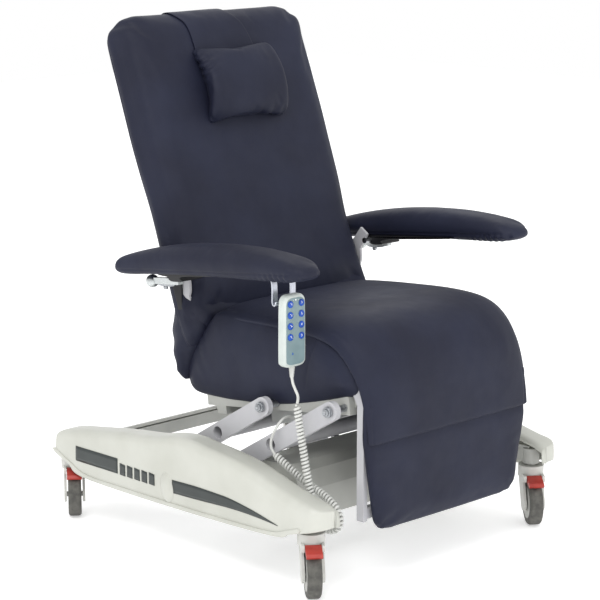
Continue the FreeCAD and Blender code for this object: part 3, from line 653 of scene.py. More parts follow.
def hill(value, width):
    """A smooth bump that is 1 at zero and fades over this width."""
    return np.exp(-(value / width) ** 2)


def step(value, low, high):
    """0 below low, 1 above high, smooth between."""
    share = np.clip((value - low) / (high - low), 0, 1)
    return share * share * (3 - 2 * share)


# %% [markdown]
# ## Backrest
# One tall pad of foam, slightly thinner at the waist, with large round corners at the
# top and a narrower foot that sits behind the seat. A seam runs round each side, a
# little in front of the rear edge, where the front cover meets the rear panel.

# %% Backrest pad
BACK_SIDE = [(-82, 96), (-66, 54), (-40, 30), (-16, 12), (6, 12), (12, 60), (13, 200), (8, 330),
             (9, 430), (11, 560), (11, 695), (4, 748), (-18, 775), (-46, 778), (-70, 760),
             (-81, 722), (-84, 640), (-83, 540), (-81, 440), (-82, 330), (-80, 210)]
BACK_HALF = 277


def back_corners(points):
    """Round top corners, a slight waist, and shoulders that widen and rise."""
    wide = round_corners(points, 0, 2, BACK_HALF + 7, 784, 62)
    wide[:, 0] *= (1 + 0.01 * np.cos((wide[:, 2] - 330) / 110)
                   + 0.03 * step(wide[:, 2], 260, 520))
    wide[:, 2] += 9 * step(wide[:, 2], 300, 700)
    return wide


def back_held(points):
    """The side seams and the foot stay put while the faces swell."""
    seam = hill(np.abs(points[:, 0]) - BACK_HALF - 2, 14) * hill(points[:, 1] + 8, 16)
    return np.clip(seam + (1 - step(points[:, 2], 20, 70)) * 0.7, 0, 1)


back_pad = foam_form("backrest_pad", BACK_SIDE, BACK_HALF, 24, 4, BACK, swell=3,
                     reshape=back_corners)
puff(back_pad, 6.5, 9, BACK, back_held)


def back_creases(points):
    x, y, z = points.T
    side = step(np.abs(x), 235, 262)
    seam = -1.8 * hill(y + 6, 2.6) * side
    waist = -2.5 * hill(z - 250, 60) * (y < -40)
    foot = 2.2 * np.sin(x / 7.5 + z / 16) * hill(z - 92, 24) * step(np.abs(x), 170, 245)
    hollow = -3.0 * hill(z - 430, 150) * hill(x, 150) * (y < -40)
    return seam + waist + foot * (y < -30) + hollow


press(back_pad, BACK, back_creases)
dress(back_pad, "leatherette", "back")
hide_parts("back_cushion")
print("backrest faces", len(back_pad.data.polygons))

# %% [markdown]
# ## Rear wrap
# Behind the hinge the cover hangs as a full fold from the backrest down to the seat.
# It bridges two moving bodies.

# %% Rear wrap
WRAP_SIDE = [(-20, 150), (-58, 124), (-80, 96), (-76, 68), (-48, 38), (-12, 4), (24, -30),
             (38, -54), (52, -56), (62, -30), (60, 14), (42, 76), (14, 136), (-6, 190), (-18, 215)]
rear_wrap = foam_form("rear_wrap", WRAP_SIDE, 270, 18, 9, BACK)
puff(rear_wrap, 6.5, 6, BACK, lambda points: step(points[:, 2], 150, 230))


def wrap_folds(points):
    x, y, z = points.T
    pulls = 1.8 * np.sin(z / 8.5) * hill(np.abs(x) - 262, 26) * hill(z - 40, 60)
    seam = -2.0 * hill(z - 118, 3.0) * (y > 20)
    return pulls + seam


press(rear_wrap, BACK, wrap_folds)
dress(rear_wrap, "leatherette")
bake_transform(rear_wrap)

# %% [markdown]
# ## Seat
# The seat's body is a deep cushion with a bulging side and a round nose. Its top is
# covered by the long cover made in the next step, so here the side counts most: it is
# full in the middle and pulled in along the seams at the top, the foot and the nose.

# %% Seat body
SEAT_SIDE = [(62, 508), (40, 528), (0, 535), (-60, 533), (-160, 534), (-250, 533),
             (-305, 524), (-350, 504), (-384, 474), (-402, 446), (-406, 430), (-392, 411),
             (-335, 391), (-266, 371), (-197, 354), (-125, 341), (-54, 333), (20, 327),
             (105, 326), (132, 340), (140, 370), (130, 410), (108, 448), (84, 482)]


def seat_held(points):
    edge = step(np.abs(points[:, 0]), 236, 250) * (1 - step(np.abs(points[:, 0]), 254, 262))
    return np.clip(edge + hill(points[:, 2] - 338, 14) * 0.6, 0, 1)


seat_body = foam_form("seat_body", SEAT_SIDE, 256, 20, 9, WORLD)
puff(seat_body, 6.5, 10, WORLD, seat_held)


def seat_creases(points):
    x, y, z = points.T
    side = step(np.abs(x), 240, 258)
    pinch = 1.6 * np.sin((z - y) / 8.0) * hill(y - 78, 22) * hill(z - 440, 44)
    nose = 1.5 * np.sin((z + y) / 7.5) * hill(y + 392, 18) * hill(z - 440, 34)
    seam = -1.6 * hill(y + 268 + 0.25 * (z - 450), 2.6) * step(z, 395, 420)
    return (pinch + nose + seam) * side


press(seat_body, WORLD, seat_creases)
dress(seat_body, "leatherette", "seat")
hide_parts("seat_cushion")

# %% [markdown]
# ## Seat cover and legrest
# One long padded cover runs over the seat, rolls over its front like a waterfall and
# ends as the upper half of the legrest. It is a grid: rows follow the side line from
# the crease at the backrest to the hem, and each row is a flat oval. Its edge line is
# lower than its middle, which makes the seat's crown.

# %% Long cover
COVER_MIDDLE = [(74, 506), (58, 530), (22, 544), (-50, 553), (-140, 561), (-230, 567),
                (-300, 568), (-350, 563), (-391, 548), (-421, 521), (-439, 486), (-448, 446),
                (-452, 400), (-453, 360), (-452, 311)]
COVER_EDGE = [(60, 488), (40, 506), (6, 519), (-60, 524), (-140, 527), (-230, 528), (-300, 523),
              (-338, 512), (-368, 492), (-393, 466), (-411, 440), (-424, 410), (-433, 376),
              (-439, 348), (-444, 311)]
COVER_HALF = [(0, 247), (0.2, 256), (0.45, 259), (0.6, 260), (0.8, 259), (1, 257)]
COVER_ROWS = 120
COVER_OVAL = 72


def headings(line):
    """The unit direction of a line at each of its points."""
    along = np.gradient(line, axis=0)
    return along / np.linalg.norm(along, axis=1)[:, None]


def long_cover():
    middle = through(COVER_MIDDLE, COVER_ROWS, closed=False)
    edge = through(COVER_EDGE, COVER_ROWS, closed=False)
    along = headings(middle)
    inward = np.stack([-along[:, 1], along[:, 0]], 1)
    points = []
    for row in range(COVER_ROWS):
        share = row / (COVER_ROWS - 1)
        half = np.interp(share, *zip(*COVER_HALF))
        end = min(share / 0.02, (1 - share) / 0.012, 1.0)
        closing = 0.35 + 0.65 * math.sqrt(1 - (1 - end) ** 2)
        for turn in np.linspace(0, 2 * math.pi, COVER_OVAL, endpoint=False):
            side, height = math.cos(turn), math.sin(turn)
            x = half * np.sign(side) * abs(side) ** 0.55
            dome = (1 - (abs(x) / half) ** 5) ** 0.6 if abs(x) < half else 0.0
            if height >= 0:
                spot = edge[row] + (middle[row] - edge[row]) * dome * closing
            else:
                depth = 16 * (1 - (abs(x) / half) ** 8) ** 0.5 * closing
                spot = edge[row] + inward[row] * depth
            points.append((x, *spot))
    faces = grid_faces(COVER_ROWS, COVER_OVAL, wrap=True)
    return new_piece("seat_and_leg_cover", points, faces + end_faces(COVER_OVAL, len(points)))


def cover_creases(points):
    x, y, z = points.T
    sag = -3.0 * hill(x, 150) * hill(y + 120, 90) * (z > 500)
    folds = 1.0 * np.sin(x / 12 + z / 40) * hill(z - 470, 40) * hill(np.abs(x) - 180, 60)
    piping = -1.2 * hill(np.abs(x) - 246, 2.5) * (z < 540)
    return sag + folds + piping


seat_cover = long_cover()
modify(seat_cover, "SUBSURF", levels=1, render_levels=1)
seat_cover.data.shade_smooth()
press(seat_cover, WORLD, cover_creases)
dress(seat_cover, "leatherette")
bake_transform(seat_cover)

# %% Legrest pad
LEG_SIDE = [(-420, 404), (-436, 402), (-441, 388), (-441, 318), (-446, 296), (-447, 240),
            (-447, 160), (-443, 122), (-434, 112), (-422, 112), (-417, 124), (-416, 200),
            (-416, 320)]


LEG_TAPER = [(110, 143, 322), (0.905, 0.93, 1.06)]


def leg_corners(points):
    """Round corners at the foot, and a pad that narrows towards it."""
    middle = np.array([0, 0, 500])
    rounded = round_corners(points - middle, 0, 2, 247, -390, 34) + middle
    rounded[:, 0] *= np.interp(rounded[:, 2], *LEG_TAPER)
    return rounded


def leg_held(points):
    """The back and the side edges stay put while the front swells."""
    return np.clip(step(points[:, 1], -424, -418)
                   + step(np.abs(points[:, 0]), 236, 244), 0, 1)


def leg_seam(points):
    return -1.2 * hill(points[:, 1] + 424, 2.5) * step(np.abs(points[:, 0]), 236, 243)


leg_pad = foam_form("legrest_pad", LEG_SIDE, 242, 10, 3, WORLD, swell=1.0, reshape=leg_corners)
puff(leg_pad, 6.0, 5, WORLD, leg_held)
press(leg_pad, WORLD, leg_seam)
dress(leg_pad, "leatherette", "legrest")
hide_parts("leg_cushion")

# %% [markdown]
# ## Head pillow and its band
# The pillow is a small loose cushion, so it is simulated with more freedom: its corners
# stay and its middle swells. Gathers at one upper corner are pressed in afterwards.
# The band that carries it is a flat strip, and each of its points is dropped onto the
# backrest along a ray, so it follows the pad exactly.

# %% Pillow
PILLOW_SIDE = [(-95, 502), (-94, 580), (-95, 664), (-112, 675), (-131, 654), (-146, 592),
               (-138, 524), (-116, 495)]


PILLOW_X, PILLOW_Z = -6, 588
PILLOW_WIDE, PILLOW_HIGH = 120, 84


def pillow_corners(points):
    """Corners reach out and the sides pull in between them."""
    x, y, z = points.T
    wide = (x - PILLOW_X) / PILLOW_WIDE
    high = (z - PILLOW_Z) / PILLOW_HIGH
    pulled = points.copy()
    pulled[:, 0] = PILLOW_X + (x - PILLOW_X) * (1 - 0.035 * (1 - high ** 2))
    pulled[:, 2] = PILLOW_Z + (z - PILLOW_Z) * (1 - 0.05 * (1 - wide ** 2))
    pulled[:, 1] += 10 * np.clip(np.abs(wide) ** 3 * np.abs(high) ** 3, 0, 1)
    return pulled


def pillow_held(points):
    """Only the four corners stay put."""
    wide = np.abs(points[:, 0] - PILLOW_X) / PILLOW_WIDE
    high = np.abs(points[:, 2] - PILLOW_Z) / PILLOW_HIGH
    return np.clip(step(wide, 0.9, 1.02) * step(high, 0.5, 0.95), 0, 1)


pillow = foam_form("head_pillow_pad", PILLOW_SIDE, PILLOW_WIDE, 17, 2, BACK, middle=PILLOW_X,
                   reshape=pillow_corners)
pillow.data.transform(BACK @ Matrix.Translation((0.006, 0, 0.006)) @ BACK.inverted())
puff(pillow, 4.5, 8, BACK, pillow_held)


def gathers(points):
    x, y, z = points.T
    corner = hill(x + 128, 34) * hill(z - 634, 30)
    pleats = 3.4 * np.sin((z - 0.35 * (x + 128)) / 3.1) * corner
    seam = -1.6 * hill(y + 104, 3.0) * step(np.abs(x + 6), 96, 112)
    foot = 1.6 * np.sin(x / 6) * hill(z - 506, 12) * (x > 20)
    return pleats + seam + foot


press(pillow, BACK, gathers)
dress(pillow, "leatherette", "pillow")
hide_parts("head_pillow")

# %% Band over the backrest
BAND_PATH = [(-160, 600), (-165, 680), (-160, 760), (-120, 830), (-35, 860), (60, 830),
             (90, 760), (90, 680), (90, 570)]
BAND_LEFT = [-104, -106, -110, -120, -122, -110, -104, -103, -103]
BAND_RIGHT = [70, 76, 52, 40, 38, 50, 60, 66, 67]


def lay_on(target, point, towards, lift):
    """The point where a ray meets a piece, lifted off it, all in metres."""
    start = Vector(point)
    hit, spot, normal, _ = target.ray_cast(start, (Vector(towards) - start).normalized())
    return spot + normal * lift if hit else None


def head_band():
    rows, columns = 70, 26
    path = through([(y, z, left, right) for (y, z), left, right
                    in zip(BAND_PATH, BAND_LEFT, BAND_RIGHT)], rows, closed=False)
    points = []
    for y, z, left, right in path:
        core = min(z, 735)
        for x in np.linspace(left, right, columns):
            start = BACK @ (Vector((x, y, z)) * MM)
            spot = lay_on(back_pad, start, BACK @ (Vector((x, -36, core)) * MM), 0.0018)
            points.append(spot / MM)
    return new_piece("head_band", points, grid_faces(rows, columns))


bpy.context.view_layer.update()
band = head_band()
modify(band, "SOLIDIFY", thickness=0.0022, offset=1.0)
modify(band, "SUBSURF", levels=1, render_levels=1)
dress(band, "leatherette", "back")
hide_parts("head_strap")

# %% [markdown]
# ## Armrests
# Each armrest is a long crowned pad that droops towards its front. The cover is pulled
# under it and stapled, which leaves small pleats at the nose.

# %% Arm pads
PAD_SIDE = [(160, 8), (164, 24), (140, 43), (40, 60), (-60, 69), (-146, 71), (-240, 68),
            (-303, 62), (-380, 49), (-432, 32), (-446, 14), (-430, 2), (-390, 0), (-309, 1),
            (-120, 6), (40, 5), (120, 3)]


def pad_plan(points):
    front = round_corners(points, 0, 1, 48, -444, 44)
    return round_corners(front, 0, 1, 48, 179, 34)


def pad_held(points):
    return np.clip(1 - step(points[:, 2], 4, 20), 0, 1)


def pad_pleats(points):
    x, y, z = points.T
    nose = hill(y + 385, 55) * (1 - step(z, 6, 28)) * step(np.abs(x), 10, 34)
    pleats = 1.5 * np.sin(y / 2.6) * nose
    staple_seam = -1.6 * hill(z - 16 + 0.004 * y, 2.4) * step(np.abs(x), 38, 44)
    return pleats + staple_seam


for side, side_name in SIDE_NAME.items():
    pad = foam_form(f"armrest_pad_{side_name}", PAD_SIDE, 44, 17, 2, ARM[side], reshape=pad_plan,
                    count=140)
    puff(pad, 5.0, 5, ARM[side], pad_held)
    press(pad, ARM[side], pad_pleats)
    dress(pad, "leatherette", f"armrest_{side_name}")
    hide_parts(f"arm_pad_{side_name}")

# %% Finish the cords
dress(lead, "cord_plastic")
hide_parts("cord_lead")
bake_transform(lead)
dress(curly, "cord_plastic")
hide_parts("cord_coil", "cord_tail")
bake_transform(curly)

# %% [markdown]
# ## Side covers
# A vacuum-formed shell lies over each rail of the base. It has a rolled top edge, a
# slightly bulging outer face, and a small lip along its foot. The shell is lofted along
# its length from one profile, with its underside and inner side left open, and it is
# then given the sheet's thickness.

# %% Cover shells
COVER_TOP = [(452, 190), (415, 208), (320, 224), (213, 240), (108, 252), (40, 266), (-15, 270),
             (-70, 265), (-177, 254), (-249, 238), (-320, 218), (-375, 206), (-405, 200),
             (-430, 190)]
COVER_FRONT, COVER_REAR = -430, 452
COVER_FACE, COVER_INNER = 398, 346
NOSE_START, TAIL_ROUND = -394, 14
COVER_FOOT = [(-430, 153), (-348, 131), (-293, 116), (3, 107), (330, 108), (393, 130), (453, 153)]
LIP_TOP = [(445, 160), (393, 139), (330, 118), (200, 116), (0, 117), (-160, 120),
           (-293, 126), (-345, 141), (-378, 151)]
LIP_FOOT = [(-378, 141), (-348, 131), (-293, 116), (3, 107), (330, 108), (393, 130), (445, 150)]


def shell_section(top, foot, count=16):
    """Half a section across the cover: inner edge, rolled top, outer face, in (x, z)."""
    roll = min(20.0, (top - foot) * 0.3)
    corner = [(COVER_FACE - roll + roll * math.sin(turn), top - roll + roll * math.cos(turn))
              for turn in np.radians(np.linspace(0, 90, 8))]
    inner = [(331, top - 13), (333, top - 6), (338, top - 1.6), (COVER_INNER, top), (362, top)]
    face = [(COVER_FACE + 1.6 * math.sin(math.pi * share),
             top - roll - (top - roll - foot) * share)
            for share in np.linspace(0.1, 1, count)]
    return inner + corner + face


def side_cover(side, name):
    """A cover shell with its lip. In plan its nose is round and its tail nearly square."""
    rows = 130
    top = through(COVER_TOP, 400, closed=False)
    foot = through(COVER_FOOT, 400, closed=False)
    reach = np.linspace(1, 0, rows)
    ends = 0.5 - 0.5 * np.cos(math.pi * reach)
    spots = COVER_FRONT + (COVER_REAR - COVER_FRONT) * ends
    points = []
    for y in spots:
        high = np.interp(-y, -top[:, 0], top[:, 1])
        low = np.interp(y, foot[:, 0], foot[:, 1])
        nose = np.clip((NOSE_START - y) / (NOSE_START - COVER_FRONT), 0, 1)
        tail = np.clip((y - COVER_REAR + TAIL_ROUND) / TAIL_ROUND, 0, 1)
        wide = (1 - nose ** 2.6) ** (1 / 2.6) * (1 - 0.25 * tail ** 2)
        for x, z in shell_section(high, low):
            x = COVER_INNER + (x - COVER_INNER) * wide if x > COVER_INNER else x
            points.append((x * side, y, z))
    columns = len(points) // rows
    faces = grid_faces(rows, columns)
    front = [(rows - 1) * columns + column for column in range(columns)]
    rear = list(range(columns))
    for row, loop in ((rows - 1, front), (0, rear)):
        y = spots[row] + (-3 if row else 3)
        z_low = points[loop[-1]][2]
        start = len(points)
        points += [(points[index][0], y, z_low) for index in loop]
        faces += [(loop[column], loop[column + 1], start + column + 1, start + column)
                  for column in range(columns - 1)]
    shell = new_piece(f"side_shell_{name}", points, faces)
    modify(shell, "SOLIDIFY", thickness=0.003, offset=-1.0)
    lip = foam_form(f"lip_{name}", LIP_TOP + LIP_FOOT, 3.2, 2.2, 0.4, WORLD,
                    middle=side * 398.6, count=240)
    return join(f"side_shell_{name}", [shell, lip])


def decal(name, upper, lower, target, side, lift=0.5, columns=24):
    """A thin foil between two lines of (y, z) points, laid on a cover's outer face."""
    top = through(upper, columns, closed=False)
    foot = through(lower, columns, closed=False)
    points = []
    for share in np.linspace(0, 1, 5):
        for high, low in zip(top, foot):
            y, z = high * (1 - share) + low * share
            start = Vector((side * 450, y, z)) * MM
            spot = lay_on(target, start, Vector((side * 300, y, z)) * MM, lift * MM)
            points.append(spot / MM)
    foil = new_piece(name, points, grid_faces(5, columns))
    modify(foil, "SOLIDIFY", thickness=0.0005, offset=1.0)
    return foil


STRIPE_TOP = [(24, 171), (-46, 173), (-116, 172), (-163, 170), (-216, 163), (-266, 154),
              (-315, 143)]
STRIPE_FOOT = [(22, 141), (-46, 143), (-116, 146), (-163, 148), (-216, 148), (-266, 146),
               (-314, 142.5)]


def name_plate_lines(rear, front, low_rear, low_front, high_rear, high_front):
    return ([(rear, high_rear), ((rear + front) / 2, (high_rear + high_front) / 2),
             (front, high_front)],
            [(rear, low_rear), ((rear + front) / 2, (low_rear + low_front) / 2),
             (front, low_front)])


for side, side_name in SIDE_NAME.items():
    shell = side_cover(side, side_name)
    dress(shell, "cover_plastic", "base")
    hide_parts(f"side_cover_{side_name}")
    bpy.context.view_layer.update()
    foils = [decal(f"foil_{side_name}_plate", *name_plate_lines(365, 213, 145, 145, 180, 181),
                   shell, side)]
    for index in range(5):
        rear = 205 - index * 25.5
        foils.append(decal(f"foil_{side_name}_{index}",
                           *name_plate_lines(rear, rear - 19, 145, 144, 172, 170), shell, side,
                           columns=6))
    foils.append(decal(f"foil_{side_name}_stripe", STRIPE_TOP, STRIPE_FOOT, shell, side,
                       columns=60))
    graphics = join(f"cover_graphics_{side_name}", foils)
    dress(graphics, "cover_plastic", "base", FOIL)

# %% Oval boss on each cover
def boss(side, name):
    """A smooth oval swelling that covers the rail's fixing."""
    rings, columns = 14, 40
    points = []
    for ring in range(rings):
        reach = ring / (rings - 1)
        for column in range(columns):
            turn = 2 * math.pi * column / columns
            y = 42 + 24 * math.cos(turn) * reach
            z = 149 + 36 * math.sin(turn) * reach + 6 * math.cos(turn) * reach
            height = 398 + 11 * (1 - reach ** 2.4) ** 0.7 - 1.5 * reach
            points.append((side * height, y, z))
    faces = grid_faces(rings, columns, wrap=True)
    return new_piece(f"cover_boss_{name}", points, faces)


for side, side_name in SIDE_NAME.items():
    oval = boss(side, side_name)
    modify(oval, "WELD", merge_threshold=0.0001)
    dress(oval, "cover_plastic", "base")

# %% [markdown]
# ## Lathe-turned details
# Bolts, washers, keycaps and the cord's boot are all round, so one function turns a
# profile about an axis. A six-sided turn makes a hexagon head.

# %% Turned pieces
def turned_piece(name, profile, centre, axis, sides=40):
    """A profile of (radius, height) turned about an axis direction, closed at the axis."""
    direction = Vector(axis).normalized()
    across = direction.orthogonal().normalized()
    other = direction.cross(across)
    points = []
    for radius, height in profile:
        for index in range(sides):
            turn = 2 * math.pi * index / sides
            points.append(Vector(centre) + direction * height
                          + (across * math.cos(turn) + other * math.sin(turn)) * radius)
    faces = grid_faces(len(profile), sides, wrap=True)
    return new_piece(name, points, faces + end_faces(sides, len(points)))


WASHER = [(11.5, 0), (11.5, 1.6), (11.0, 2.0), (6.2, 2.0)]
SOCKET_HEAD = [(8.2, 1.8), (8.2, 6.2), (7.6, 7.0), (4.6, 7.0), (4.3, 4.0)]


def bolt(name, body, x, y, z):
    """A socket-head bolt on its washer, pointing outward along X."""
    way = (1 if x > 0 else -1, 0, 0)
    pieces = [turned_piece("washer", WASHER, (x, y, z), way),
              turned_piece("head", SOCKET_HEAD, (x, y, z), way)]
    dress(join(name, pieces), "pin_steel", body)


for side, side_name in SIDE_NAME.items():
    bolt(f"bolt_front_upper_{side_name}", "seat", side * 301.6, -362.0, 381.0)
    bolt(f"bolt_rear_upper_{side_name}", "seat", side * 301.6, -155.0, 353.0)

# %% [markdown]
# ## Handset
# A palm-sized ABS shell holds a foil keypad with eight silicone keys. The shell is a
# round-cornered block lofted through its depth. The keys are domes with small white
# marks in place of the usual drawings of a chair, and each one moves with its own key.

# %% Handset shell and keypad
HAND_X, HAND_Z = -336, 553
HAND_FACE = -304.1
SHELL_OUTLINE = [(-32, -62), (-32, 0), (-31, 58), (-28, 70), (-19, 77), (0, 78), (19, 77),
                 (28, 70), (31, 58), (32, 0), (32, -62), (29, -72), (20, -77), (0, -78),
                 (-20, -77), (-29, -72)]
PAD_OUTLINE = [(-26.5, -58), (-26.5, 0), (-26, 55), (-23, 66), (-14, 71), (0, 71.6), (14, 71),
               (23, 66), (26, 55), (26.5, 0), (26.5, -58), (24, -67), (15, -71.4), (0, -72),
               (-15, -71.4), (-24, -67)]
HAND = place(HAND_X, -292, HAND_Z, "Z", -90)
hand_shell = foam_form("handset_case", SHELL_OUTLINE, 11, 6, 0, HAND, count=96)
dress(hand_shell, "handset_plastic", "handset")
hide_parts("handset_shell")
keypad = foam_form("handset_keypad", PAD_OUTLINE, 0.9, 0.6, 0, HAND, middle=11, count=96)
dress(keypad, "handset_plastic", "handset", KEYPAD)


def small_disc(name, x, z, radius):
    return turned_piece(name, [(radius, 0), (radius, 0.35), (radius * 0.7, 0.6)],
                        (x, HAND_FACE, z), (0, -1, 0), 20)


marks = [small_disc("light", HAND_X, 620, 1.9)]
for index in range(5):
    marks.append(small_disc(f"arc_{index}", HAND_X - 14 + index * 7,
                            617.5 + (0, 2.2, 3.4, 2.2, 0)[index], 0.7))
dress(join("handset_marks", marks), "handset_plastic", "handset", PRINT)
badge = turned_piece("handset_badge", [(3.4, 0), (3.4, 0.35), (2.4, 0.6)],
                     (HAND_X - 9, HAND_FACE, 505), (0, -1, 0), 3)
dress(badge, "handset_plastic", "handset", GRAPHIC_BLUE)

# %% Keys
KEY_DOME = [(7.4, -3.0), (7.4, 0.6), (7.0, 1.4), (5.8, 2.0), (3.4, 2.4), (0.4, 2.5)]
KEY_MARKS = [(55, -20), (125, 200), (35, -50), (145, 230), (0, 62), (180, 118), (-30, 65),
             (210, 115)]


def key_bar(name, x, z, turn, length):
    """A short white bar printed on a key, from near its middle outward."""
    along = Vector((math.cos(math.radians(turn)), 0, math.sin(math.radians(turn))))
    start = Vector((x, -307.25, z)) - along * 0.6
    wide = Vector((-along.z, 0, along.x)) * 0.62
    front = Vector((0, -0.35, 0))
    finish = start + along * length
    corners = [start - wide, start + wide, finish + wide, finish - wide]
    points = corners + [corner + front for corner in corners]
    faces = [(0, 1, 2, 3), (4, 5, 6, 7), (0, 1, 5, 4), (1, 2, 6, 5), (2, 3, 7, 6), (3, 0, 4, 7)]
    return new_piece(name, points, faces, smooth=False)


KEY_ROWS = (612, 588.5, 565, 541.5)
for index in range(8):
    key_x = HAND_X + (-16 if index % 2 == 0 else 16)
    key_z = KEY_ROWS[index // 2]
    dome = turned_piece(f"keycap_{index + 1}", KEY_DOME, (key_x, -304.9, key_z), (0, -1, 0), 32)
    dress(dome, "key_plastic", f"key_{index + 1}")
    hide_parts(f"button_{index + 1}")
    bars = [key_bar(f"bar_{index}_{number}", key_x, key_z, turn, length)
            for number, (turn, length) in enumerate(zip(KEY_MARKS[index], (3.6, 3.2)))]
    bars.append(turned_piece(f"dot_{index}", [(0.9, 0), (0.9, 0.35)],
                             (key_x - 1.6, -307.1, key_z + 2.8), (0, -1, 0), 12))
    dress(join(f"key_mark_{index + 1}", bars), "key_plastic", f"key_{index + 1}", PRINT)

# %% Boot with ribs
BOOT_PROFILE = [(3.3, 0), (3.9, 1.0)]
for rib in range(7):
    foot = 1.2 + rib * 3.3
    BOOT_PROFILE += [(3.7 + rib * 0.32, foot), (4.5 + rib * 0.34, foot + 0.7),
                     (4.5 + rib * 0.34, foot + 2.1), (3.8 + rib * 0.32, foot + 2.8)]
BOOT_PROFILE += [(6.4, 25.5), (6.4, 27)]
boot = turned_piece("cord_boot", BOOT_PROFILE, (HAND_X, -292, 450), (0, 0, 1), 32)
dress(boot, "boot_rubber", "handset")
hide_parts("handset_boot")

# %% [markdown]
# ## Armrest hardware
# Each armrest rests on a black plate, and a sleeve under it guides the release bar that
# a small thumb screw locks. A curved white bracket carries it from the seat. Beside the
# bracket a near-black strip is painted shade for the gap behind it, not a part. The
# handset hangs on two J-shaped prongs.

# %% Painted shade strips
SHADE_STRIP_LINE = [(140, 606), (136, 584), (132, 560), (129, 540), (127, 520), (122, 500)]


# This draws painted shade: a near-black strip beside each arm bracket, not a real part.
def stay(side, name):
    line = through(SHADE_STRIP_LINE, 30, closed=False)
    points = []
    for spot, way in zip(line, headings(line)):
        across = np.array([-way[1], way[0]]) * (8 + 9 * step(spot[1], 530, 590))
        for share in np.linspace(-1, 1, 7):
            y, z = spot + across * share
            points.append((side * (281 - 4 * step(560 - z, 0, 60)), y, z))
    strip = new_piece(f"painted_shade_strip_{name}", points, grid_faces(30, 7))
    modify(strip, "SOLIDIFY", thickness=0.003, offset=0.0)
    modify(strip, "BEVEL", width=0.001, segments=2)
    return strip


# %% Bent strips for the hook and the brackets
HOOK_LINE = [(-262, 668), (-266, 655), (-267.5, 640), (-267.5, 622), (-267.8, 613),
             (-270.5, 607.5), (-275, 607), (-277.5, 611), (-278, 616)]
BRACKET_LINE = [(86, 640), (102, 616), (114, 600), (110, 585), (108, 570), (110, 555),
                (109, 541), (104, 522), (98, 505)]
BRACKET_WIDE = [26, 30, 30, 27, 24, 19, 16, 16, 16]


def bent_strip(name, line, widths, middle, thickness, upright):
    """A flat strip along a line of (y, z), wide along X or, when upright, in its own plane."""
    spots = through([(y, z, wide) for (y, z), wide in zip(line, widths)], 40, closed=False)
    points = []
    for (y, z, wide), way in zip(spots, headings(spots[:, :2])):
        for share in np.linspace(-0.5, 0.5, 7):
            if upright:
                inward = math.copysign(14 * step(562 - z, 0, 30), middle)
                points.append((middle - inward, y - way[1] * wide * share,
                               z + way[0] * wide * share))
            else:
                points.append((middle + wide * share, y, z))
    strip = new_piece(name, points, grid_faces(40, 7))
    modify(strip, "SOLIDIFY", thickness=thickness * MM, offset=0.0)
    modify(strip, "BEVEL", width=0.0008, segments=2)
    return strip


# %% Plates, sleeves, hook and brackets
ARM_PLATE_LINE = [(30, 1), (4, -2), (-4, -11), (-44, -11), (-50, 0), (-240, 5), (-240, 9),
                  (30, 9)]
COLLAR_LINE = [(-4, -23), (-4, -8), (46, -8), (46, -23)]
for side, side_name in SIDE_NAME.items():
    body = f"armrest_{side_name}"
    plate = foam_form(f"black_arm_plate_{side_name}", ARM_PLATE_LINE, 31, 1.5, 0, ARM[side],
                      middle=-16 * side, count=80)
    dress(plate, "black_steel", body)
    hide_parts(f"arm_plate_{side_name}")
    collar = foam_form(f"release_collar_{side_name}", COLLAR_LINE, 6, 1, 0, ARM[side], count=60)
    dress(collar, "pin_steel", body)

PRONG_WIDE = [16] * len(HOOK_LINE)
PRONG_SHIFT = 26.5
BRACKET_X = 275
prongs = [bent_strip(f"prong_{index}", HOOK_LINE, PRONG_WIDE, HAND_X + shift, 2.6, False)
          for index, shift in enumerate((-PRONG_SHIFT, PRONG_SHIFT))]
hook = dress(join("handset_hook_prongs", prongs), "hook_steel", "armrest_right")
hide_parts("handset_hook")
brackets = [bent_strip(f"bracket_{name}", BRACKET_LINE, BRACKET_WIDE, side * BRACKET_X, 6, True)
            for side, name in SIDE_NAME.items()]
bracket_pair = dress(join("curved_arm_brackets", brackets), "white_steel", "seat")
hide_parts("arm_brackets")
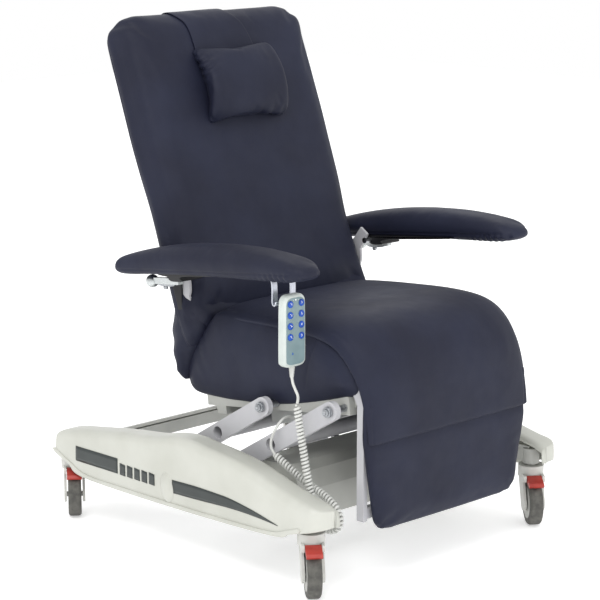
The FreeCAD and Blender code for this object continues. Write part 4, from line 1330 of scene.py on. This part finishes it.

# %% Screws, and the painted shade strips' finish
SCREW = [(2.4, 0), (2.4, 5), (5.2, 5.4), (5.6, 7), (5.6, 10), (5.0, 11.5), (3.0, 12.2)]
for side, side_name in SIDE_NAME.items():
    # The strip is painted shade for the gap behind the bracket.
    shade_strip = stay(side, side_name)
    dress(shade_strip, "black_steel", "seat", SHADE_STRIP_FINISH)
    spot = ARM[side] @ (Vector((0, 30, -20)) * MM) / MM
    down = ARM[side].to_3x3() @ Vector((0, 0, -1))
    screw = turned_piece(f"thumb_screw_{side_name}", SCREW, spot, down, 24)
    dress(screw, "pin_steel", f"armrest_{side_name}")

# %% [markdown]
# ## Studio
# A pale floor, a white surround and three large soft lamps give the flat bright light
# of a catalogue. The main lamp stands high on the sitter's right and a little to the
# front, so the near faces are lit and the shadows stay soft.

# %% Floor and lights
def studio_floor():
    bpy.ops.mesh.primitive_plane_add(size=16, location=(0, 0, 0))
    floor = bpy.context.object
    floor.name = "studio_floor"
    finish, tree, shader, spot = new_finish("matt_white_paper", Roughness=0.95)
    shade = noise(tree, spot, 500, 2.0)
    tint(tree, shader, shade.outputs["Fac"], "#f4f4f4", "#fafafa")
    shader.inputs["Emission Color"].default_value = linear("#ffffff")
    shader.inputs["Emission Strength"].default_value = 0.4
    floor.data.materials.append(finish)


def lamp(name, spot, target, size, watts):
    data = bpy.data.lights.new(name, "AREA")
    data.shape = "DISK"
    data.size = size
    data.energy = watts
    light = bpy.data.objects.new(name, data)
    light.location = spot
    light.rotation_euler = (Vector(target) - Vector(spot)).to_track_quat("-Z", "Y").to_euler()
    scene.collection.objects.link(light)


studio_floor()
lamp("main_lamp", (-2.4, -1.3, 3.6), (0, 0, 0.5), 2.0, 50)
lamp("front_lamp", (-0.6, -3.6, 1.8), (0, 0, 0.5), 2.0, 14)
lamp("rim_lamp", (2.4, 2.6, 2.6), (0, 0, 0.6), 2.4, 16)
surround = bpy.data.worlds.new("white_surround")
surround.use_nodes = True
surround.node_tree.nodes["Background"].inputs["Color"].default_value = linear("#ffffff")
surround.node_tree.nodes["Background"].inputs["Strength"].default_value = 1.0
scene.world = surround
